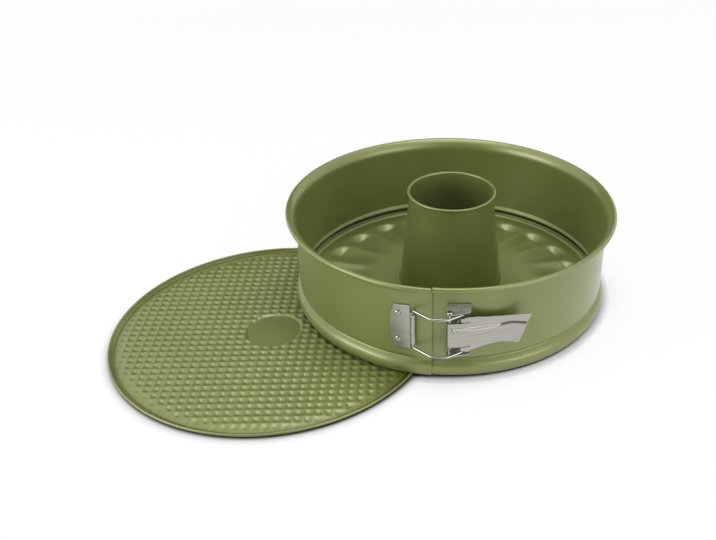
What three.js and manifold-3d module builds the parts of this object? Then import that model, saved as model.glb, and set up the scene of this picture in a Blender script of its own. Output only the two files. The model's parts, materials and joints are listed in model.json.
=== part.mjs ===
// A 26 cm springform pan in coated steel: a sprung band closed by an over-centre clasp,
// a scalloped base with a chimney fitted in it for ring cakes, and its second, flat base on the table.
// Millimetres, +Z up. The clasp faces -Y. The band leans a little, because its left edge rests
// on the rim of the flat base and its far edge on the table.
import * as THREE from "three";
import { mergeVertices } from "three/addons/utils/BufferGeometryUtils.js";
import Module from "manifold-3d";

const wasm = await Module();
wasm.setup();

// Sizes shared by the pieces
const SHEET = 0.6; // coated steel sheet
const PLAY = 0.3; // gap between pieces that touch
const BASE_R = 131.2; // outer edge of either base

// Band: a steel strip bent into a hoop, its left end lapping outside its right end
const WALL_INNER_R = 130;
const WALL_OUTER_R = WALL_INNER_R + SHEET;
const BELLY_R = BASE_R + PLAY + SHEET; // outside of the lower band that grips the base's edge
const BELLY_TOP_Z = 9.5;
const EDGE_ROUND = 0.5; // at the bottom edge
const GROOVE = 1.5; // pressed in between belly and wall, so that its ridge inside keeps the base down
const GROOVE_Z = 12.5;
const GROOVE_TOP_Z = 15.5;
const FLARE_Z = 71; // here the wall starts to turn outwards
const FLARE_R = 11;
const FLARE_ANGLE = Math.PI / 3;
const BEAD_R = 2; // rolled top edge
const BEAD_RETURN = -Math.PI * 0.88; // where the roll comes back to the flare
const LAP = 14; // length of the hidden end under the lap
const LAP_OFFSET = 1.3; // how far the outer end stands off
const LAP_BLEND_FROM = 34; // the outer end stands off up to here, and has joined the wall at the next
const LAP_BLEND_TO = 64;
const SEAM_GAP = 0.4;
const BAND_STEPS = 60;

// Ring-cake base
const DISH_LOBES = 22;
const DISH_MARGIN_Z = 6;
const LOBE_DEPTH = 3.4;
const LOBE_INNER_R = 58;
const LOBE_OUTER_R = 117;
const LOBE_FADE = 22; // length over which a lobe deepens from its inner end
const LOBE_END = 7; // length of the slope at its outer end
const LOBE_ROUND = 10; // how far its round outer end falls back at its sides
const LOBE_STEPS = [0, 0.3, 0.7, 0.88, 1]; // rings along a lobe, as shares of its length
const LOBE_ACROSS = [0, 0.75, 1, 0.75]; // share of its depth, across it
const MARGIN_R = 125; // here the plain margin turns up to the hem
const HEM_HALF = 0.85; // half the height of the folded edge
const HEM_Z = 7.7;
const HEM_FOLD = 2.4; // width of the folded strip
const CHIMNEY_FOOT_R = 43.8; // outside, at the base
const CHIMNEY_TOP_R = 35.4; // outside, under the bead
const CHIMNEY_TOP_Z = 92;
const CHIMNEY_BEAD_R = 1.2;
const CHIMNEY_ROLL_FROM = -Math.PI * 0.75; // where the roll leaves the wall
const CHIMNEY_FLANGE_R = CHIMNEY_FOOT_R + 3.6;
const DISH_HOLE_R = CHIMNEY_FOOT_R + 1.3;
const SEAM_HALF = 1.7; // half the width of the chimney's folded seam, inside at the back
const SEAM_PROUD = 0.5;
const CHIMNEY_FLARE = 3; // height over which the foot turns out into its flange
const CHIMNEY_SIDES = 32;

// Flat base
const FLAT_CENTRE = new THREE.Vector2(-137, -84);
const FLAT_PANEL = 0.9;
const FLAT_RIM_Z = 4;
const FLAT_RIM_INNER_R = 125.8;
const FLAT_RIM_RUN = 3; // from the panel's edge out to the hem
const FLAT_HEM_R = 1;
const FLAT_SIDES = 48;
const WAFFLE_PITCH = 6.5;
const WAFFLE_HEIGHT = 1.3;
const WAFFLE_INNER_R = 24; // plain disc in the middle
const WAFFLE_OUTER_R = 115;
const WAFFLE_TURN = THREE.MathUtils.degToRad(6);
const WAFFLE_FOOT_Z = FLAT_PANEL + 0.01; // the pyramids meet just above the panel

// Clasp: heights are from its middle, and a place along the wall is an arc length from the seam
const CLASP_Z = 41.5;
const PLATE = 0.9; // sheet of the hinge plate and the bracket
const PLATE_INNER_R = WALL_OUTER_R + LAP_OFFSET + PLAY;
const PLATE_LEFT = -32.2;
const PLATE_RIGHT = -17.5;
const PLATE_HALF = 19.8;
const PLATE_BOW = 3.6; // how far its left edge is bowed
const PLATE_CORNER = 1; // drop from its right corners to its left ones
const PLATE_LAP = 1.5; // the rolled edge's strip starts this far inside it
const PLATE_ROLL = [-Math.PI * 0.95, Math.PI * 0.52]; // angles where the roll starts and ends
const WIRE_R = 0.95;
const HINGE_A = { along: -13.8, r: 134.6 }; // the bail's hinge in the plate's rolled edge
const HINGE_A_BORE = WIRE_R + PLAY;
const BARREL_HALF = 13.4;
const HINGE_B = { along: 13, r: 138 }; // the lever's pivot
const HOOK_C = { along: 22.5, r: 136.6 }; // where the bail's ends sit in the lever's hooks
const HOOK_BORE = 1.85; // loose, because the lever turns while the band's ends stay put
const ARM_HALF = 16.6; // the bail's arms, above and below the middle
const BEND_HIGH = 2; // height of the bends between the upright wire and the arms
const BEND_TIGHT = 0.8; // a point this far before each bend keeps it tight
const WIRE_END = 1; // the ends stop this far above and below the tongue
const ARM_FROM_HOOK = [-1.4, -1.6]; // the arm's route on the plan, from the hook's middle,
const ARM_PAST_PIVOT = [
  [3.6, -4.4],
  [-0.6, -6.5],
  [-2.4, -6.7],
  [-7.4, -6.7],
  [-12.2, -6.7],
  [-14, -6.3],
]; // then from the pivot's, with a kink each side of the middle
const ARM_TO_HINGE = [1.8, -1.5]; // and last from its own hinge
const LEVER_SHEET = 0.8;
const PIN_R = 1.2;
const PIN_BORE = PIN_R + PLAY;
const TONGUE_HALF = 10.5;
const LEVER_HALF = 15.3;
const LEVER_ROUTE = [
  { along: 47.5, r: 135.7 },
  { along: 59.5, r: 137.4 },
  { along: 70.5, r: 142 },
]; // its outer face, from its waist to the tip of its tail
const SHOULDER_AT = 9; // places along the lever, from its hooks
const WAIST_FROM = 16;
const WAIST_AT = 27;
const UPPER_EDGE = { waistFrom: 13.2, waist: 11.4, tip: 13.8 };
const LOWER_EDGE = { shoulder: -14, waistFrom: -11.8, waist: -10.2, tip: -12.6 };
const TIP_SLANT = 8; // the tail's lower corner is this much shorter
const TONGUE_BACK = 4; // the web is cut this far behind the pivot
const TONGUE_ROLL = [-Math.PI * 2.08, -Math.PI * 0.5];
const SLIT = 4.5; // between tongue and hooks
const SLIT_HIGH = 0.6;
const HOOK_HALF = 14.4; // the hooks end below the bail's bends
const HOOK_ROLL = [Math.PI * 0.96, Math.PI * 1.57];
const HOOK_LAP = 0.6; // the hooks run this far into the web,
const HOOK_LAP_IN = 0.5; // and this far inwards with its slope
const RIB_R = 0.8;
const RIB_SUNK = 0.2;
const RIB_ROUTE = [
  [0.1, 5],
  [0.3, 4.6],
  [0.55, 3.4],
  [0.8, 4.6],
  [0.95, 4.9],
]; // share of the lever's length, and height
const EAR_HALF = 18.6; // inner faces of the bracket's ears
const BRACKET_LEFT = 9.5;
const BRACKET_RIGHT = 28.5;
const EAR_R = 2.9; // round the pivot
const EAR_ROLL = [-Math.PI * 0.42, -Math.PI * 1.12];
const EAR_CORNER = [
  { along: BRACKET_RIGHT - 0.6, r: 136.5 },
  { along: BRACKET_RIGHT - 3, r: 137.6 },
];
const PIN_HEAD = 0.9; // its height, and how far it stands out from the pin
const PIN_HEAD_TAPER = 0.4;
const RIVET_R = 1.5;
const RIVET_HEAD_R = 2.4;
const RIVET_DOME = 1.1;
const RIVET_CROWN = [
  [0.9, 0.5],
  [0.63, 1],
  [0.44, 0.9],
  [0, 0.5],
]; // the dimpled dome, as shares of the head's radius and height
const RIVET_TAIL = 1; // thickness of the upset end inside the band, and how far it spreads
const DRILL = 14; // length of the tool that cuts a rivet's hole

// Coatings
const coatedSteel = new THREE.MeshStandardMaterial({ color: 0x7f8457, roughness: 0.38, metalness: 0.35 });
const platedSteel = new THREE.MeshStandardMaterial({ color: 0xc4c2bb, roughness: 0.26, metalness: 1 });

// Geometry helpers

// A closed geometry as a solid that can be joined and cut.
function solidOf(geometry) {
  const bare = new THREE.BufferGeometry().setAttribute("position", geometry.getAttribute("position"));
  bare.setIndex(geometry.index);
  const merged = mergeVertices(bare, 1e-4);
  return new wasm.Manifold(
    new wasm.Mesh({
      numProp: 3,
      vertProperties: new Float32Array(merged.getAttribute("position").array),
      triVerts: new Uint32Array(merged.index.array),
    }),
  );
}

function geometryOf(solid) {
  const { vertProperties, triVerts } = solid.getMesh();
  const geometry = new THREE.BufferGeometry();
  geometry.setAttribute("position", new THREE.BufferAttribute(vertProperties, 3));
  geometry.setIndex(new THREE.BufferAttribute(triVerts, 1));
  return geometry;
}

// A skin through rings of like points. An open skin gets flat ends, and an endless one
// joins its last ring to its first.
function loft(rings, endless, section) {
  const count = rings[0].length;
  const position = rings.flat(2);
  const index = [];
  const spans = endless ? rings.length : rings.length - 1;
  for (let i = 0; i < spans; i++) {
    const here = i * count;
    const next = ((i + 1) % rings.length) * count;
    for (let j = 0; j < count; j++) {
      const k = (j + 1) % count;
      index.push(here + j, next + j, next + k, here + j, next + k, here + k);
    }
  }
  if (!endless) {
    const last = (rings.length - 1) * count;
    for (const [a, b, c] of THREE.ShapeUtils.triangulateShape(section, [])) {
      index.push(a, b, c, last + a, last + c, last + b);
    }
  }
  const geometry = new THREE.BufferGeometry();
  geometry.setAttribute("position", new THREE.Float32BufferAttribute(position, 3));
  geometry.setIndex(index);
  return geometry;
}

// A section of radius and height, stood at one azimuth: 0 is the clasp's side, and it grows to the right.
function stand(section, azimuth, offset = 0) {
  const [s, c] = [Math.sin(azimuth), Math.cos(azimuth)];
  return section.map((p) => [(p.x + offset) * s, -(p.x + offset) * c, p.y]);
}

// A place on the plan, by arc length along the wall from the seam and by radius.
function onPlan({ along, r }) {
  const azimuth = along / WALL_OUTER_R;
  return new THREE.Vector2(r * Math.sin(azimuth), -r * Math.cos(azimuth));
}

function arcPoints(centre, radius, from, to, count) {
  return Array.from({ length: count }, (_, i) => {
    const angle = from + ((to - from) * i) / (count - 1);
    return new THREE.Vector2(centre.x + radius * Math.cos(angle), centre.y + radius * Math.sin(angle));
  });
}

// A plan outline raised from one height to another.
function raise(outline, low, high) {
  const geometry = new THREE.ExtrudeGeometry(new THREE.Shape(outline), {
    depth: high - low,
    bevelEnabled: false,
  });
  return geometry.translate(0, 0, low);
}

// A front outline, in X and Z, pushed through the clasp from far outside to the pan's middle.
function frontCutter(outline) {
  const depth = 150;
  const geometry = new THREE.ExtrudeGeometry(new THREE.Shape(outline), { depth, bevelEnabled: false });
  return geometry.rotateX(Math.PI / 2);
}

// A strip of sheet along a plan curve: outer face on the curve, thickness towards the wall.
function strip(curve, thickness, count) {
  const outer = curve.getSpacedPoints(count);
  const inner = outer.map((p, i) => {
    const t = curve.getTangentAt(i / count);
    return new THREE.Vector2(p.x - t.y * thickness, p.y + t.x * thickness);
  });
  return [...outer, ...inner.reverse()];
}

// A solid of revolution from radius and height pairs, standing on +Z.
function turned(points, sides) {
  const profile = points.map(([r, z]) => new THREE.Vector2(r, z));
  return new THREE.LatheGeometry(profile, sides).rotateX(Math.PI / 2);
}

function mesh(name, geometry, material) {
  const piece = new THREE.Mesh(geometry, material);
  piece.name = name;
  return piece;
}

// Band

// The strip's section. Under the lap the top is plain, because the rolled edges butt at the seam.
function bandSection(plainTop) {
  const lowerOuter = [
    [BELLY_R - SHEET / 2, 0],
    [BELLY_R, EDGE_ROUND],
    [BELLY_R, BELLY_TOP_Z],
    [WALL_OUTER_R - GROOVE, GROOVE_Z],
    [WALL_OUTER_R, GROOVE_TOP_Z],
  ];
  const lowerInner = [
    [WALL_INNER_R, GROOVE_TOP_Z],
    [WALL_INNER_R - GROOVE, GROOVE_Z],
    [BELLY_R - SHEET, BELLY_TOP_Z],
    [BELLY_R - SHEET, EDGE_ROUND],
  ];
  const vector = ([r, z]) => new THREE.Vector2(r, z);
  const flareSteps = 3;
  const beadSteps = 8;
  let top;
  if (plainTop) {
    const edgeCentre = new THREE.Vector2(WALL_OUTER_R - SHEET / 2, FLARE_Z);
    const edge = arcPoints(edgeCentre, SHEET / 2, 0, Math.PI, beadSteps);
    const heights = Array.from({ length: flareSteps }, (_, i) => FLARE_Z - flareSteps + i);
    const climb = heights.map((z) => new THREE.Vector2(WALL_OUTER_R, z));
    const descent = heights.map((z) => new THREE.Vector2(WALL_INNER_R, z)).reverse();
    top = [...climb, ...edge, ...descent];
  } else {
    const centre = new THREE.Vector2(WALL_INNER_R + FLARE_R, FLARE_Z);
    const turn = Math.PI - FLARE_ANGLE;
    const bead = new THREE.Vector2(FLARE_R - BEAD_R, 0).rotateAround(new THREE.Vector2(), turn).add(centre);
    const open = 0.62; // share of the flare's back that the roll leaves open
    const join = 0.16; // angle between the roll's end and the flare's next point
    const outer = arcPoints(centre, FLARE_R - SHEET, Math.PI, Math.PI - FLARE_ANGLE * open, flareSteps);
    const roll = arcPoints(bead, BEAD_R, BEAD_RETURN, turn, beadSteps);
    const inner = arcPoints(centre, FLARE_R, turn + join, Math.PI, flareSteps);
    top = [...outer, ...roll, ...inner];
  }
  return [...lowerOuter.map(vector), ...top, ...lowerInner.map(vector)];
}

function bandGeometry() {
  const full = bandSection(false);
  const plain = bandSection(true);
  const around = 2 * Math.PI * WALL_OUTER_R;
  const rings = [-LAP, -LAP / 2, SEAM_GAP].map((along) => stand(plain, along / WALL_OUTER_R));
  const standOff = (along) => {
    const left = around - along;
    return LAP_OFFSET * (1 - THREE.MathUtils.smoothstep(left, LAP_BLEND_FROM, LAP_BLEND_TO));
  };
  for (let i = 0; i <= BAND_STEPS; i++) {
    const along = i === 0 ? 2 * SEAM_GAP : (around * i) / BAND_STEPS;
    rings.push(stand(full, along / WALL_OUTER_R, standOff(along)));
  }
  return loft(rings, false, full);
}

// Ring-cake base

// A lobe's outer end, round on the plan.
function lobeEnd(scoop) {
  return LOBE_OUTER_R - LOBE_ROUND * (1 - Math.sqrt(scoop));
}

// Height of the dish at a radius. The lobes are scoops with round ends between plain margins.
function dishTop(r, scoop) {
  const rise = THREE.MathUtils.smoothstep(r, LOBE_INNER_R, LOBE_INNER_R + LOBE_FADE);
  const end = THREE.MathUtils.clamp((lobeEnd(scoop) - r) / LOBE_END, 0, 1);
  const depth = LOBE_DEPTH * scoop * rise * Math.sqrt(1 - (1 - end) ** 2);
  return DISH_MARGIN_Z - depth;
}

function dishGeometry() {
  const hem = [
    [BASE_R - HEM_HALF, HEM_Z - HEM_HALF],
    [BASE_R, HEM_Z],
    [BASE_R - HEM_HALF, HEM_Z + HEM_HALF],
    [BASE_R - HEM_FOLD, HEM_Z + SHEET],
  ];
  const columns = DISH_LOBES * LOBE_ACROSS.length;
  const rings = Array.from({ length: columns }, (_, i) => {
    const scoop = LOBE_ACROSS[i % LOBE_ACROSS.length];
    const lobeRadii = LOBE_STEPS.map((t) => THREE.MathUtils.lerp(LOBE_INNER_R, lobeEnd(scoop), t));
    const radii = [DISH_HOLE_R, ...lobeRadii, MARGIN_R];
    const under = radii.map((r) => new THREE.Vector2(r, dishTop(r, scoop) - SHEET));
    const over = radii.map((r) => new THREE.Vector2(r, dishTop(r, scoop))).reverse();
    const section = [...under, ...hem.map(([r, z]) => new THREE.Vector2(r, z)), ...over];
    return stand(section, (2 * Math.PI * i) / columns);
  });
  return loft(rings, true);
}

// A tapered tube with a rolled top, clinched above and below the edge of the dish's hole,
// and closed by a folded seam.
function chimneyGeometry() {
  const low = DISH_MARGIN_Z - SHEET - PLAY;
  const high = DISH_MARGIN_Z + PLAY;
  const neck = DISH_HOLE_R - PLAY;
  const rollZ = CHIMNEY_TOP_Z - CHIMNEY_BEAD_R;
  const roll = arcPoints(
    new THREE.Vector2(CHIMNEY_TOP_R - SHEET + CHIMNEY_BEAD_R, rollZ),
    CHIMNEY_BEAD_R,
    CHIMNEY_ROLL_FROM,
    Math.PI,
    6,
  );
  const section = [
    [CHIMNEY_FOOT_R - SHEET, low - SHEET],
    [CHIMNEY_FLANGE_R, low - SHEET],
    [CHIMNEY_FLANGE_R, low],
    [neck, low],
    [neck, high],
    [CHIMNEY_FLANGE_R, high],
    [CHIMNEY_FLANGE_R - SHEET / 2, high + SHEET],
    [CHIMNEY_FOOT_R + 2 * SHEET, high + 2 * SHEET],
    [CHIMNEY_FOOT_R, high + CHIMNEY_FLARE],
    ...roll.map((p) => [p.x, p.y]),
    [CHIMNEY_FOOT_R - SHEET, high + CHIMNEY_FLARE],
    [CHIMNEY_FOOT_R - SHEET, low - SHEET],
  ];
  const innerR = (z) => {
    const share = (z - high - CHIMNEY_FLARE) / (rollZ - high - CHIMNEY_FLARE);
    return THREE.MathUtils.lerp(CHIMNEY_FOOT_R, CHIMNEY_TOP_R, share) - SHEET;
  };
  const seam = [rollZ - 2 * CHIMNEY_BEAD_R, high + CHIMNEY_FLARE].map((z) => [
    [-SEAM_HALF, innerR(z) - SEAM_PROUD, z],
    [SEAM_HALF, innerR(z) - SEAM_PROUD, z],
    [SEAM_HALF, innerR(z) + SHEET / 4, z],
    [-SEAM_HALF, innerR(z) + SHEET / 4, z],
  ]);
  const seamEnd = seam[0].map(([x, y]) => new THREE.Vector2(x, y));
  return geometryOf(solidOf(turned(section, CHIMNEY_SIDES)).add(solidOf(loft(seam, false, seamEnd))));
}

// Flat base

// Square pyramids side by side on every cell of a ring-shaped field, on one flat underside.
function waffleGeometry() {
  const reach = Math.ceil(WAFFLE_OUTER_R / WAFFLE_PITCH);
  const low = FLAT_PANEL / 2;
  const inField = (i, j) => {
    const r = Math.hypot(i + 0.5, j + 0.5) * WAFFLE_PITCH;
    return r > WAFFLE_INNER_R && r < WAFFLE_OUTER_R;
  };
  const position = [];
  const triangle = (...points) => points.forEach((p) => position.push(...p));
  for (let i = -reach; i < reach; i++) {
    for (let j = -reach; j < reach; j++) {
      if (!inField(i, j)) continue;
      const corner = (a, b, z) => [(i + a) * WAFFLE_PITCH, (j + b) * WAFFLE_PITCH, z];
      const apex = corner(0.5, 0.5, FLAT_PANEL + WAFFLE_HEIGHT);
      const turnRound = [
        [0, 0, 0, -1],
        [1, 0, 1, 0],
        [1, 1, 0, 1],
        [0, 1, -1, 0],
      ];
      turnRound.forEach(([a, b, di, dj], k) => {
        const [c, d] = turnRound[(k + 1) % 4];
        triangle(corner(a, b, WAFFLE_FOOT_Z), corner(c, d, WAFFLE_FOOT_Z), apex);
        if (!inField(i + di, j + dj)) {
          triangle(corner(a, b, low), corner(c, d, low), corner(c, d, WAFFLE_FOOT_Z));
          triangle(corner(a, b, low), corner(c, d, WAFFLE_FOOT_Z), corner(a, b, WAFFLE_FOOT_Z));
        }
      });
      triangle(corner(0, 0, low), corner(1, 1, low), corner(1, 0, low));
      triangle(corner(0, 0, low), corner(0, 1, low), corner(1, 1, low));
    }
  }
  const geometry = new THREE.BufferGeometry();
  geometry.setAttribute("position", new THREE.Float32BufferAttribute(position, 3));
  return mergeVertices(geometry, 1e-4).rotateZ(WAFFLE_TURN);
}

function flatBaseGeometry() {
  const hemCentre = new THREE.Vector2(BASE_R - FLAT_HEM_R, FLAT_RIM_Z - FLAT_HEM_R);
  const hem = arcPoints(hemCentre, FLAT_HEM_R, -Math.PI * 0.5, Math.PI * 0.8, 7);
  const section = [
    [0, 0],
    [FLAT_RIM_INNER_R, 0],
    [FLAT_RIM_INNER_R + FLAT_RIM_RUN, FLAT_RIM_Z - 2 * FLAT_HEM_R],
    ...hem.map((p) => [p.x, p.y]),
    [FLAT_RIM_INNER_R + FLAT_RIM_RUN - FLAT_PANEL, FLAT_RIM_Z - 1.5 * FLAT_HEM_R],
    [FLAT_RIM_INNER_R - FLAT_PANEL, FLAT_PANEL],
    [0, FLAT_PANEL],
  ];
  return geometryOf(solidOf(turned(section, FLAT_SIDES)).add(solidOf(waffleGeometry())));
}

// Clasp

// A rivet along the wall's radius: a dome with a dimple outside, a flat head inside.
function rivetGeometry(stack) {
  const seat = stack + PLAY;
  return turned(
    [
      [0, -RIVET_TAIL],
      [RIVET_R + RIVET_TAIL, -RIVET_TAIL],
      [RIVET_R + RIVET_TAIL, -PLAY],
      [RIVET_R, -PLAY],
      [RIVET_R, seat],
      [RIVET_HEAD_R, seat],
      ...RIVET_CROWN.map(([r, z]) => [RIVET_HEAD_R * r, seat + RIVET_DOME * z]),
    ],
    10,
  );
}

// Stands a piece that points along +Z on the band's inner face, pointing outwards.
function onWall(piece, along, height, offset) {
  const holder = new THREE.Group();
  holder.rotation.z = along / WALL_OUTER_R;
  holder.position.z = height;
  piece.rotation.x = Math.PI / 2;
  piece.position.y = -(WALL_INNER_R + offset);
  holder.add(piece);
  return holder;
}

// A hole for a rivet, as a solid in the band's frame.
function rivetHole(along, height) {
  const drill = new THREE.CylinderGeometry(RIVET_R + PLAY, RIVET_R + PLAY, DRILL, 12);
  drill.translate(0, -WALL_INNER_R, height).rotateZ(along / WALL_OUTER_R);
  return solidOf(drill);
}

// A flat plate bent to the wall's curve.
function wallPlate(from, to, innerR, thickness) {
  const [a, b] = [from / WALL_OUTER_R - Math.PI / 2, to / WALL_OUTER_R - Math.PI / 2];
  const middle = new THREE.Vector2();
  return [...arcPoints(middle, innerR + thickness, a, b, 6), ...arcPoints(middle, innerR, b, a, 6)];
}

// A D-shaped plate whose straight edge is rolled into a barrel for the bail.
function hingePlateGeometry(rivets) {
  const a = onPlan(HINGE_A);
  const outerR = HINGE_A_BORE + PLATE;
  const [rollFrom, rollTo] = PLATE_ROLL;
  const rolled = [
    ...arcPoints(a, outerR, rollFrom, rollTo, 12),
    ...arcPoints(a, HINGE_A_BORE, rollTo, rollFrom, 12),
  ];
  const lapOver = PLATE_RIGHT - PLATE_LAP;
  const web = [
    onPlan({ along: lapOver, r: PLATE_INNER_R }),
    onPlan({ along: lapOver, r: PLATE_INNER_R + PLATE }),
    new THREE.Vector2(a.x, a.y + outerR - PLATE),
    new THREE.Vector2(a.x, a.y + outerR),
  ];
  const edge = PLATE_INNER_R + PLATE;
  const left = onPlan({ along: PLATE_LEFT, r: edge }).x;
  const right = onPlan({ along: PLATE_RIGHT, r: edge }).x;
  const outline = new THREE.Shape();
  outline.moveTo(right, -PLATE_HALF);
  outline.lineTo(right, PLATE_HALF);
  outline.lineTo(left + PLATE_BOW, PLATE_HALF - PLATE_CORNER);
  outline.quadraticCurveTo(left - PLATE_BOW, 0, left + PLATE_BOW, PLATE_CORNER - PLATE_HALF);
  const blank = wallPlate(PLATE_LEFT - PLATE_BOW, PLATE_RIGHT, PLATE_INNER_R, PLATE);
  let solid = solidOf(raise(blank, -PLATE_HALF, PLATE_HALF));
  solid = solid.intersect(solidOf(frontCutter(outline.getPoints(10))));
  solid = solid.add(solidOf(raise(web, -BARREL_HALF, BARREL_HALF)));
  solid = solid.add(solidOf(raise(rolled, -BARREL_HALF, BARREL_HALF)));
  for (const { along, height } of rivets) solid = solid.subtract(rivetHole(along, height));
  return geometryOf(solid);
}

// One wire: an end in each of the lever's hooks, two bowed arms that clear the pivot,
// and the hinge between them.
function wireBailGeometry() {
  const [a, b, c] = [HINGE_A, HINGE_B, HOOK_C].map(onPlan);
  const end = TONGUE_HALF + WIRE_END;
  const bend = ARM_HALF - BEND_HIGH;
  const tight = bend - BEND_TIGHT;
  const from = (p, [x, y]) => new THREE.Vector2(p.x + x, p.y + y);
  const arm = [from(c, ARM_FROM_HOOK), ...ARM_PAST_PIVOT.map((p) => from(b, p)), from(a, ARM_TO_HINGE)];
  const level = (z) => arm.map((p) => new THREE.Vector3(p.x, p.y, z));
  const upright = (p, heights) => heights.map((z) => new THREE.Vector3(p.x, p.y, z));
  const route = [
    ...upright(c, [end, tight, bend]),
    ...level(ARM_HALF),
    ...upright(a, [bend, tight, bend / 2, 0, -bend / 2, -tight, -bend]),
    ...level(-ARM_HALF).reverse(),
    ...upright(c, [-bend, -tight, -end]),
  ];
  const path = new THREE.CatmullRomCurve3(route, false, "centripetal");
  const wire = new THREE.Shape(arcPoints(new THREE.Vector2(), WIRE_R, 0, (Math.PI * 5) / 3, 6));
  return new THREE.ExtrudeGeometry(wire, { steps: 64, extrudePath: path, bevelEnabled: false });
}

// The lever's outer face on the plan, from the top of its barrel to the tip of its tail.
function leverCurve() {
  const b = onPlan(HINGE_B);
  const c = onPlan(HOOK_C);
  return new THREE.SplineCurve([
    new THREE.Vector2(b.x, b.y - PIN_BORE - LEVER_SHEET),
    new THREE.Vector2(c.x, c.y - HOOK_BORE - LEVER_SHEET),
    ...LEVER_ROUTE.map(onPlan),
  ]);
}

// A pressed lever: a tongue rolled round the pivot, two hooks for the bail, a waist,
// a flared tail and a long rib.
function leverGeometry() {
  const b = onPlan(HINGE_B);
  const c = onPlan(HOOK_C);
  const curve = leverCurve();
  const tip = curve.getPointAt(1);
  const step = c.x + 1; // the hooks' side of the web
  const slitTop = TONGUE_HALF + SLIT_HIGH;
  const outline = new THREE.Shape();
  outline.moveTo(b.x - TONGUE_BACK, TONGUE_HALF);
  outline.lineTo(step + SLIT, TONGUE_HALF);
  outline.lineTo(step + SLIT, slitTop);
  outline.lineTo(step, slitTop);
  outline.lineTo(step, LEVER_HALF);
  outline.quadraticCurveTo(step + SHOULDER_AT, LEVER_HALF, step + WAIST_FROM, UPPER_EDGE.waistFrom);
  outline.quadraticCurveTo(step + WAIST_AT, UPPER_EDGE.waist, tip.x, UPPER_EDGE.tip);
  outline.lineTo(tip.x - TIP_SLANT, LOWER_EDGE.tip);
  outline.quadraticCurveTo(step + WAIST_AT, LOWER_EDGE.waist, step + WAIST_FROM, LOWER_EDGE.waistFrom);
  outline.quadraticCurveTo(step + SHOULDER_AT, LOWER_EDGE.shoulder, step, -LEVER_HALF);
  outline.lineTo(step, -slitTop);
  outline.lineTo(step + SLIT, -slitTop);
  outline.lineTo(step + SLIT, -TONGUE_HALF);
  outline.lineTo(b.x - TONGUE_BACK, -TONGUE_HALF);
  const web = solidOf(raise(strip(curve, LEVER_SHEET, 12), -LEVER_HALF, LEVER_HALF));
  let solid = web.intersect(solidOf(frontCutter(outline.getPoints(5))));

  const barrel = [
    ...arcPoints(b, PIN_BORE + LEVER_SHEET, TONGUE_ROLL[0], TONGUE_ROLL[1], 12),
    ...arcPoints(b, PIN_BORE, TONGUE_ROLL[1], TONGUE_ROLL[0], 12),
  ];
  solid = solid.add(solidOf(raise(barrel, -TONGUE_HALF, TONGUE_HALF)));

  const hook = [
    ...arcPoints(c, HOOK_BORE + LEVER_SHEET, HOOK_ROLL[0], HOOK_ROLL[1], 8),
    new THREE.Vector2(step + HOOK_LAP, c.y - HOOK_BORE - LEVER_SHEET + HOOK_LAP_IN),
    new THREE.Vector2(step + HOOK_LAP, c.y - HOOK_BORE + HOOK_LAP_IN),
    ...arcPoints(c, HOOK_BORE, HOOK_ROLL[1], HOOK_ROLL[0], 8),
  ];
  solid = solid.add(solidOf(raise(hook, slitTop, HOOK_HALF)));
  solid = solid.add(solidOf(raise(hook, -HOOK_HALF, -slitTop)));

  const ribHeights = new THREE.SplineCurve(RIB_ROUTE.map(([t, z]) => new THREE.Vector2(t, z)));
  const ribRoute = ribHeights.getSpacedPoints(12).map(({ x, y }) => {
    const p = curve.getPointAt(x);
    return new THREE.Vector3(p.x, p.y + RIB_SUNK, y);
  });
  const ribSection = new THREE.Shape(arcPoints(new THREE.Vector2(), RIB_R, 0, (Math.PI * 5) / 3, 6));
  const rib = new THREE.ExtrudeGeometry(ribSection, {
    steps: 14,
    extrudePath: new THREE.CatmullRomCurve3(ribRoute),
    bevelEnabled: false,
  });
  return geometryOf(solid.add(solidOf(rib)));
}

// A channel riveted to the band: a plate on the wall and two ears that carry the pivot.
function bracketGeometry(rivets) {
  const b = onPlan(HINGE_B);
  const innerR = WALL_OUTER_R + PLAY;
  const earHigh = EAR_HALF + PLATE;
  const ear = [
    ...wallPlate(BRACKET_LEFT, BRACKET_RIGHT, innerR, PLATE).slice(6).reverse(),
    ...EAR_CORNER.map(onPlan),
    ...arcPoints(b, EAR_R, EAR_ROLL[0], EAR_ROLL[1], 8),
  ].reverse();
  let solid = solidOf(raise(wallPlate(BRACKET_LEFT, BRACKET_RIGHT, innerR, PLATE), -earHigh, earHigh));
  solid = solid.add(solidOf(raise(ear, EAR_HALF, earHigh)));
  solid = solid.add(solidOf(raise(ear, -earHigh, -EAR_HALF)));
  const bore = new THREE.CylinderGeometry(PIN_BORE, PIN_BORE, 2 * earHigh + 2, 16).rotateX(Math.PI / 2);
  solid = solid.subtract(solidOf(bore.translate(b.x, b.y, 0)));
  for (const { along, height } of rivets) solid = solid.subtract(rivetHole(along, height));
  return geometryOf(solid);
}

function pivotPinGeometry() {
  const seat = EAR_HALF + PLATE + PLAY;
  const headR = PIN_R + PIN_HEAD;
  const half = [
    [PIN_R, seat],
    [headR, seat],
    [headR - PIN_HEAD_TAPER, seat + PIN_HEAD],
    [0, seat + PIN_HEAD],
  ];
  const otherHalf = half.map(([r, z]) => [r, -z]).reverse();
  const b = onPlan(HINGE_B);
  return turned([...otherHalf, ...half], 14).translate(b.x, b.y, 0);
}

// Assembly

const hingeRivets = [
  { name: "hinge_rivet_upper", along: -25.6, height: 11.6 },
  { name: "hinge_rivet_lower", along: -25.6, height: -11.6 },
];
const bracketRivets = [
  { name: "bracket_rivet_upper", along: 20.5, height: 6.8 },
  { name: "bracket_rivet_lower", along: 20.5, height: -6.8 },
];

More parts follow.
